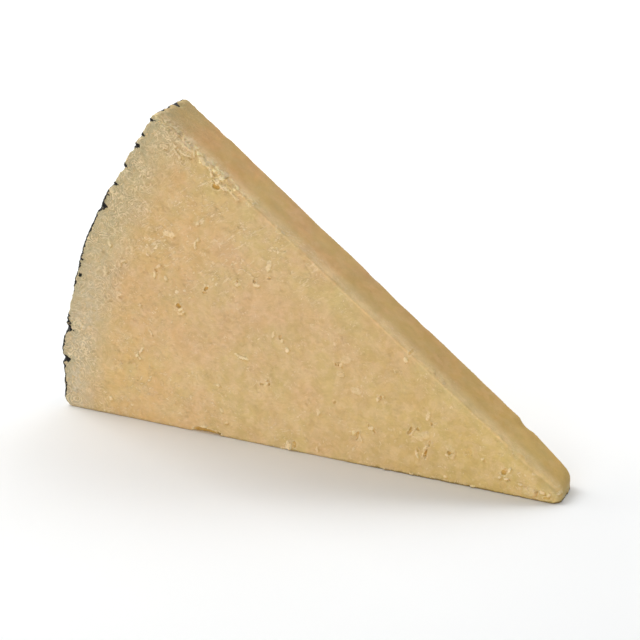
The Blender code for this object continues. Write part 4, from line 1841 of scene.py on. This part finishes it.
@dataclass
class RindCoat:
    """The thin black coat over the wheel's round side, ragged where the cuts broke it."""

    cut: WheelCut
    thickness: float = 0.32
    proud: float = 0.1
    smear: float = 2.8
    # Patches of fewer faces than this fall off
    smallest_patch: int = 12
    # How far from the coat its distance is kept for the paste's finish
    gap_reach: float = 5.0

    def covered(self, centres: np.ndarray, normals: np.ndarray, wedge: CheeseBody) -> np.ndarray:
        """Tells which faces of the body the coat covers.

        Args:
            centres: The faces' centres.
            normals: The faces' normals.
            wedge: The maker of the body, which knows its nicks.

        Returns:
            True for each covered face.
        """
        cut = self.cut
        ragged = Grain(21)
        outward = centres[:, [0, 2]] - np.array((cut.centre_beyond_cuts, -cut.centre_below_table))
        outward /= np.linalg.norm(outward, axis=1)[:, None]
        faces_out = np.einsum("ij,ij->i", outward, normals[:, [0, 2]])
        front = centres[:, 1] - cut.y_front
        rim, upper = cut.rim_depth(centres) - wedge.flattened(centres), cut.upper_depth(centres)
        height = centres[:, 2]
        line = np.zeros(len(centres))
        for low, high in COAT_TURNS_IN:
            line = np.maximum(line, ramp(height, low - 1, low + 1) * ramp(height, high + 1, high - 1))
        bound = 0.93 - 0.6 * line * ramp(front, 2.5, 1.0)
        bound = bound - 0.35 * ramp(front, 1.5, 3.0) + 0.08 * ragged.at(centres, 1.3)
        covered = (faces_out > bound) & (rim < np.where(front < 1, 0.9, 4))
        covered &= ~((upper < 0.7) & (faces_out < 0.9))
        inside = np.clip(rim, 0, None) / self.smear + 0.3 * ragged.at(centres, 0.9)
        for nick_height, half_width, _ in wedge.rind_nicks:
            middle = np.array(cut.rim_point(cut.rim_angle(nick_height), cut.y_front))
            along = np.abs(height - middle[2]) / half_width
            covered |= (along + inside < 1) & (front < 2) & (rim < 3)
        for y, half_width, _ in wedge.upper_rind_nicks:
            along = np.abs(centres[:, 1] - y) / half_width
            covered |= (along + inside < 1) & (upper < 2) & (rim < 3)
        return covered & (height > 0.25)

    def build(self, body: bpy.types.Object, wedge: CheeseBody) -> bpy.types.Object:
        """Makes the coat from the body's own skin, so that it follows every dimple and nick.

        Args:
            body: The body, still in millimetres.
            wedge: The maker of the body.

        Returns:
            The coat, in millimetres about the cuts.
        """
        faces = body.data.polygons
        covered = self.covered(rows_of(faces, "center"), rows_of(faces, "normal"), wedge)
        bm = bmesh.new()
        bm.from_mesh(body.data)
        bm.faces.ensure_lookup_table()
        bare = [bm.faces[index] for index in np.nonzero(~covered)[0]]
        bmesh.ops.delete(bm, geom=bare, context="FACES")
        self.drop_scraps(bm)
        for _ in range(2):
            border = [vert for vert in bm.verts if vert.is_boundary]
            bmesh.ops.smooth_vert(
                bm, verts=border, factor=0.4, use_axis_x=True, use_axis_y=True, use_axis_z=True
            )
        bm.normal_update()
        moves = [(vert, vert.normal * (0.02 if vert.is_boundary else self.proud)) for vert in bm.verts]
        for vert, move in moves:
            vert.co += move
        mesh = mesh_of(bm, "rind_coat")
        for name in ("opening_and_groove_shade", "flake"):
            mesh.attributes.remove(mesh.attributes[name])
        coat = placed_object("rind_coat", mesh)
        coat.data = applied(coat, "SOLIDIFY", thickness=self.thickness, offset=-1.0, use_even_offset=False)
        coat.data.shade_smooth()
        self.keep_gap(body.data, coat.data)
        return coat

    def keep_gap(self, body: bpy.types.Mesh, coat: bpy.types.Mesh) -> None:
        """Keeps on the body how far each vertex lies from the coat.

        Args:
            body: The body's mesh.
            coat: The coat's mesh, in the same place.
        """
        coat_points, points = rows_of(coat.vertices, "co"), rows_of(body.vertices, "co")
        tree = KDTree(len(coat_points))
        for index, point in enumerate(coat_points):
            tree.insert(point, index)
        tree.balance()
        gaps = np.full(len(points), self.gap_reach)
        for index in np.nonzero(self.cut.rim_depth(points) < self.gap_reach + 2)[0]:
            gaps[index] = min(tree.find(points[index])[2], self.gap_reach)
        set_attribute(body, "from_coat", gaps)

    def drop_scraps(self, bm: bmesh.types.BMesh) -> None:
        """Drops what hangs on by a point, and pieces of the coat too small to hold on.

        Args:
            bm: The coat, still one skin.
        """
        for _ in range(4):
            pinched = [vert for vert in bm.verts if sum(edge.is_boundary for edge in vert.link_edges) > 2]
            bmesh.ops.delete(bm, geom=pinched, context="VERTS")
        seen: set[bmesh.types.BMFace] = set()
        scraps: list[bmesh.types.BMFace] = []
        for face in bm.faces:
            if face in seen:
                continue
            patch, edge_of_search = {face}, [face]
            while edge_of_search:
                for edge in edge_of_search.pop().edges:
                    fresh = [other for other in edge.link_faces if other not in patch]
                    patch.update(fresh)
                    edge_of_search.extend(fresh)
            seen |= patch
            if len(patch) < self.smallest_patch:
                scraps.extend(patch)
        bmesh.ops.delete(bm, geom=scraps, context="FACES")

    def dress(self, coat: bpy.types.Object, patterns: SharedPatterns, finish: CoatFinish) -> None:
        """Gives the coat its finish and its part in the frame.

        Args:
            coat: The coat.
            patterns: The shared node groups.
            finish: The finish.
        """
        coat.data.materials.clear()
        coat.data.materials.append(finish.material(patterns))
        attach(coat, "root")


@dataclass
class Slivers:
    """Fine curled slivers that the cutting wire raised, thick under the rind and sparse in the heart."""

    cut: WheelCut
    count_each_face: int = 480
    length: tuple = (0.5, 1.5)
    breadth: tuple = (0.09, 0.17)
    sunk: float = 0.35
    seed: int = 17

    def spot(self, draw: random.Random, side: Side) -> Vector:
        """Draws a place for a sliver, more often near the rind.

        Args:
            draw: The random numbers.
            side: The face it lies on.

        Returns:
            A point in the wedge's middle plane under the place.
        """
        cut = self.cut
        deep = 1.0 + min(draw.expovariate(1 / 11), 120) if draw.random() < 0.72 else draw.uniform(8, 145)
        reach = cut.wheel_radius - deep
        low = math.asin((1.2 + cut.centre_below_table) / reach)
        high = cut.top_rim_angle * 0.995
        angle = draw.uniform(low, high)
        place = cut.wheel_centre + Vector((-math.cos(angle), 0, math.sin(angle))) * reach
        place.y = cut.y_front if side is Side.FRONT else cut.back_y(place.x)
        return place

    def add_sliver(self, bm: bmesh.types.BMesh, draw: random.Random, hit: Vector, normal: Vector) -> None:
        """Adds one curled, tapered sliver, half sunk in the face.

        Args:
            bm: The mesh of all slivers.
            draw: The random numbers.
            hit: Where it lies on the face.
            normal: The face's normal there.
        """
        length = draw.uniform(*self.length)
        breadth = draw.uniform(*self.breadth)
        curl = draw.uniform(-0.9, 0.9) / length
        made = bmesh.ops.create_icosphere(bm, subdivisions=1, radius=1)
        turn = Matrix.Rotation(draw.uniform(0, math.tau), 4, "Z")
        place = Matrix.Translation(hit) @ normal.to_track_quat("Z", "Y").to_matrix().to_4x4() @ turn
        for vert in made["verts"]:
            x = vert.co.x * length / 2
            y = vert.co.y * breadth + curl * x * x
            vert.co = Vector((x, y, (vert.co.z - self.sunk) * breadth * 0.75))
        bmesh.ops.transform(bm, matrix=place, verts=made["verts"])

    def build(self, skin: BVHTree) -> bpy.types.Object:
        """Makes the slivers on the front and back faces.

        Args:
            skin: The body's surface.

        Returns:
            The slivers, in millimetres about the cuts.
        """
        draw = random.Random(self.seed)
        bm = bmesh.new()
        for side in (Side.FRONT, Side.BACK):
            inward = INTO_FRONT if side is Side.FRONT else -INTO_FRONT
            for _ in range(self.count_each_face):
                start = self.spot(draw, side) - inward * 6
                hit, normal, _, _ = skin.ray_cast(start, inward)
                if hit is not None and -inward.dot(normal) > 0.6:
                    self.add_sliver(bm, draw, hit, normal)
        bmesh.ops.recalc_face_normals(bm, faces=bm.faces[:])
        mesh = mesh_of(bm, "cheese_slivers")
        mesh.shade_smooth()
        return placed_object("cheese_slivers", mesh)

    def dress(self, slivers: bpy.types.Object, material: bpy.types.Material) -> None:
        """Gives the slivers their finish and their part in the frame.

        Args:
            slivers: The slivers.
            material: Their material.
        """
        slivers.data.materials.append(material)
        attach(slivers, "root")


@dataclass
class Crumbs:
    """Small crumbs and flakes that cling where the edges and openings broke."""

    cut: WheelCut
    seed: int = 29
    # Clusters on the front face: distance, height, spread along, spread up, how many, largest size
    clusters: tuple = (
        (106.4, 72.4, 2.6, 1.5, 16, 0.55),
        (109.0, 74.8, 1.6, 0.9, 8, 0.4),
        (115.6, 80.6, 2.8, 1.6, 14, 0.4),
        (123.0, 86.8, 3.0, 1.4, 16, 0.45),
        (100.2, 24.2, 2.6, 0.5, 10, 0.4),
        (98.8, 26.6, 1.0, 1.4, 8, 0.35),
        (85.6, 2.2, 1.2, 0.9, 8, 0.5),
        (44.0, 7.6, 1.6, 2.2, 9, 0.35),
        (47.6, 12.6, 1.8, 1.2, 8, 0.35),
        (36.6, 8.4, 1.2, 1.0, 6, 0.35),
        (30.8, 9.2, 1.6, 1.0, 6, 0.35),
        (20.8, 6.0, 1.8, 1.4, 9, 0.4),
        (13.0, 3.6, 3.0, 1.1, 18, 0.4),
        (6.4, 2.6, 1.2, 0.8, 6, 0.35),
        (40.0, 0.9, 14.0, 0.45, 46, 0.3),
        (64.0, 9.6, 2.6, 1.6, 8, 0.35),
        (57.7, 20.0, 1.2, 0.8, 5, 0.35),
        (91.5, 49.5, 1.0, 3.0, 8, 0.35),
        (50.0, 32.4, 0.8, 1.8, 6, 0.35),
        (133.8, 19.8, 1.4, 0.8, 5, 0.35),
    )

    def build(self, skin: BVHTree) -> bpy.types.Object:
        """Makes the crumbs.

        Args:
            skin: The body's surface.

        Returns:
            The crumbs, in millimetres about the cuts.
        """
        draw = random.Random(self.seed)
        bm = bmesh.new()
        for distance, height, along, up, count, largest in self.clusters:
            for _ in range(count):
                x = -distance + draw.gauss(0, 0.5) * along
                z = max(0.25, height + draw.gauss(0, 0.5) * up)
                hit, normal, _, _ = skin.ray_cast(Vector((x, self.cut.y_front - 6, z)), INTO_FRONT)
                if hit is None or hit.y > self.cut.y_front + 2.5:
                    continue
                size = largest * draw.uniform(0.35, 1.0) / 2
                angle = draw.uniform(0, math.tau)
                axis = Vector((draw.random(), draw.random(), 1))
                spin = Matrix.Rotation(angle, 4, axis)
                flat = Matrix.Diagonal((size * draw.uniform(0.8, 1.7), size, size * 0.6, 1))
                face = normal.to_track_quat("Z", "Y").to_matrix().to_4x4()
                place = Matrix.Translation(hit) @ face @ spin @ flat
                made = bmesh.ops.create_icosphere(bm, subdivisions=2, radius=1, matrix=Matrix.Identity(4))
                for vert in made["verts"]:
                    vert.co *= 1 + 0.45 * noise.noise(vert.co * 1.3 + hit)
                bmesh.ops.transform(bm, matrix=place, verts=made["verts"])
        bmesh.ops.recalc_face_normals(bm, faces=bm.faces[:])
        mesh = mesh_of(bm, "cheese_crumbs")
        mesh.shade_smooth()
        mesh.set_sharp_from_angle(angle=math.radians(40))
        return placed_object("cheese_crumbs", mesh)

    def dress(self, crumbs: bpy.types.Object, material: bpy.types.Material) -> None:
        """Gives the crumbs their finish and their part in the frame.

        Args:
            crumbs: The crumbs.
            material: Their material.
        """
        crumbs.data.materials.append(material)
        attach(crumbs, "root")


# ---------------------------------------------------------------------------------------------------
# The studio
# ---------------------------------------------------------------------------------------------------


def seen_from(azimuth: float, elevation: float) -> Vector:
    """Gives the direction from the wedge to a place round it.

    Args:
        azimuth: Degrees round from -Y towards +X.
        elevation: Degrees above the floor.

    Returns:
        The direction.
    """
    turn, rise = math.radians(azimuth), math.radians(elevation)
    return Vector((math.sin(turn) * math.cos(rise), -math.cos(turn) * math.cos(rise), math.sin(rise)))


@dataclass(frozen=True)
class Softbox:
    """One square soft light: its place round the wedge, in degrees and metres, and its power in watts."""

    name: str
    azimuth: float
    elevation: float
    power: float
    side: float = 0.9
    distance: float = 1.3
    colour: tuple[float, float, float] = (1.0, 1.0, 1.0)

    def build(self) -> bpy.types.Object:
        """Makes the light, aimed at the wedge.

        Returns:
            The light.
        """
        lamp = bpy.data.lights.new(self.name, "AREA")
        lamp.shape = "SQUARE"
        lamp.size = self.side
        lamp.energy = self.power
        lamp.color = self.colour
        obj = bpy.data.objects.new(self.name, lamp)
        back = seen_from(self.azimuth, self.elevation)
        obj.location = back * self.distance + Vector((0, 0, 0.03))
        obj.rotation_euler = (-back).to_track_quat("-Z", "Y").to_euler()
        bpy.context.scene.collection.objects.link(obj)
        return obj


@dataclass(frozen=True)
class Studio:
    """The white floor, the soft lights and the camera."""

    softboxes: tuple = (
        Softbox("left", -96, 44, 13.6),
        Softbox("low_left", -82, 20, 3.2),
        Softbox("back_left", -150, 45, 6.0),
        Softbox("back_right", 160, 45, 6.8),
        Softbox("front", 15, 10.5, 10.1, 0.65),
    )
    surround: float = 0.03
    floor_half: float = 3.0
    azimuth: float = 28.827
    elevation: float = 19.669
    distance: float = 1.0
    lens: float = 209.2
    aim: tuple = (0.00098, 0.0, 0.03576)

    def build_floor(self, finish: FloorFinish) -> bpy.types.Object:
        """Makes the floor.

        Args:
            finish: Its finish.

        Returns:
            The floor.
        """
        bm = bmesh.new()
        bmesh.ops.create_grid(bm, x_segments=1, y_segments=1, size=self.floor_half)
        bmesh.ops.translate(bm, vec=(0, 0, -0.00002), verts=bm.verts[:])
        mesh = mesh_of(bm, "studio_floor")
        mesh.materials.append(finish.material())
        floor = placed_object("studio_floor", mesh)
        return floor

    def build_world(self) -> None:
        """Fills the room with even soft light."""
        world = bpy.data.worlds.new("studio")
        world.use_nodes = True
        world.node_tree.nodes["Background"].inputs["Color"].default_value = (1, 1, 1, 1)
        world.node_tree.nodes["Background"].inputs["Strength"].default_value = self.surround
        bpy.context.scene.world = world
        bpy.context.scene.view_settings.view_transform = "Standard"

    def build_camera(self) -> bpy.types.Object:
        """Makes the camera.

        Returns:
            The camera.
        """
        lens = bpy.data.cameras.new("camera")
        lens.lens = self.lens
        lens.sensor_width = 36
        lens.clip_start, lens.clip_end = 0.05, 20
        camera = bpy.data.objects.new("camera", lens)
        back = seen_from(self.azimuth, self.elevation)
        camera.location = Vector(self.aim) + back * self.distance
        camera.rotation_euler = (-back).to_track_quat("-Z", "Y").to_euler()
        bpy.context.scene.collection.objects.link(camera)
        bpy.context.scene.camera = camera
        return camera

    def build(self, finish: FloorFinish) -> None:
        """Builds the studio.

        Args:
            finish: The floor's finish.
        """
        self.build_floor(finish)
        self.build_world()
        for softbox in self.softboxes:
            softbox.build()
        self.build_camera()


def report(piece: bpy.types.Object) -> None:
    """Says what a finished piece is.

    Args:
        piece: The piece.
    """
    triangles = sum(len(face.vertices) - 2 for face in piece.data.polygons)
    size = " x ".join(f"{side / MM:.1f}" for side in piece.dimensions)
    LOG.info("%s: %d triangles, %s mm", piece.name, triangles, size)


def main() -> None:
    """Builds the wedge, its coat, slivers and crumbs, and the studio round them."""
    logging.basicConfig(level=logging.INFO, format="%(message)s", stream=sys.stdout)
    cut = WheelCut()
    wedge = CheeseBody(cut)
    body = wedge.build()
    points = rows_of(body.data.vertices, "co")
    middle = Vector((points.min(axis=0) + points.max(axis=0)) / 2)
    middle.z = 0
    patterns = SharedPatterns(cut, middle)
    maker = RindCoat(cut)
    coat = maker.build(body, wedge)
    graph = bpy.context.evaluated_depsgraph_get()
    skin = BVHTree.FromObject(body, graph)
    slivers_maker, crumbs_maker = Slivers(cut), Crumbs(cut)
    slivers = slivers_maker.build(skin)
    crumbs = crumbs_maker.build(skin)
    wedge.dress(body, patterns, PasteFinish())
    maker.dress(coat, patterns, CoatFinish())
    slivers_maker.dress(slivers, CrumbFinish().material(patterns, "cheese_slivers"))
    crumbs_maker.dress(crumbs, CrumbFinish().material(patterns, "cheese_crumbs"))
    for piece in (body, coat, slivers, crumbs):
        to_model_place(piece.data, middle)
    bpy.context.view_layer.update()
    for piece in (body, coat, slivers, crumbs):
        report(piece)
    Studio().build(FloorFinish())


if __name__ == "__main__":
    main()
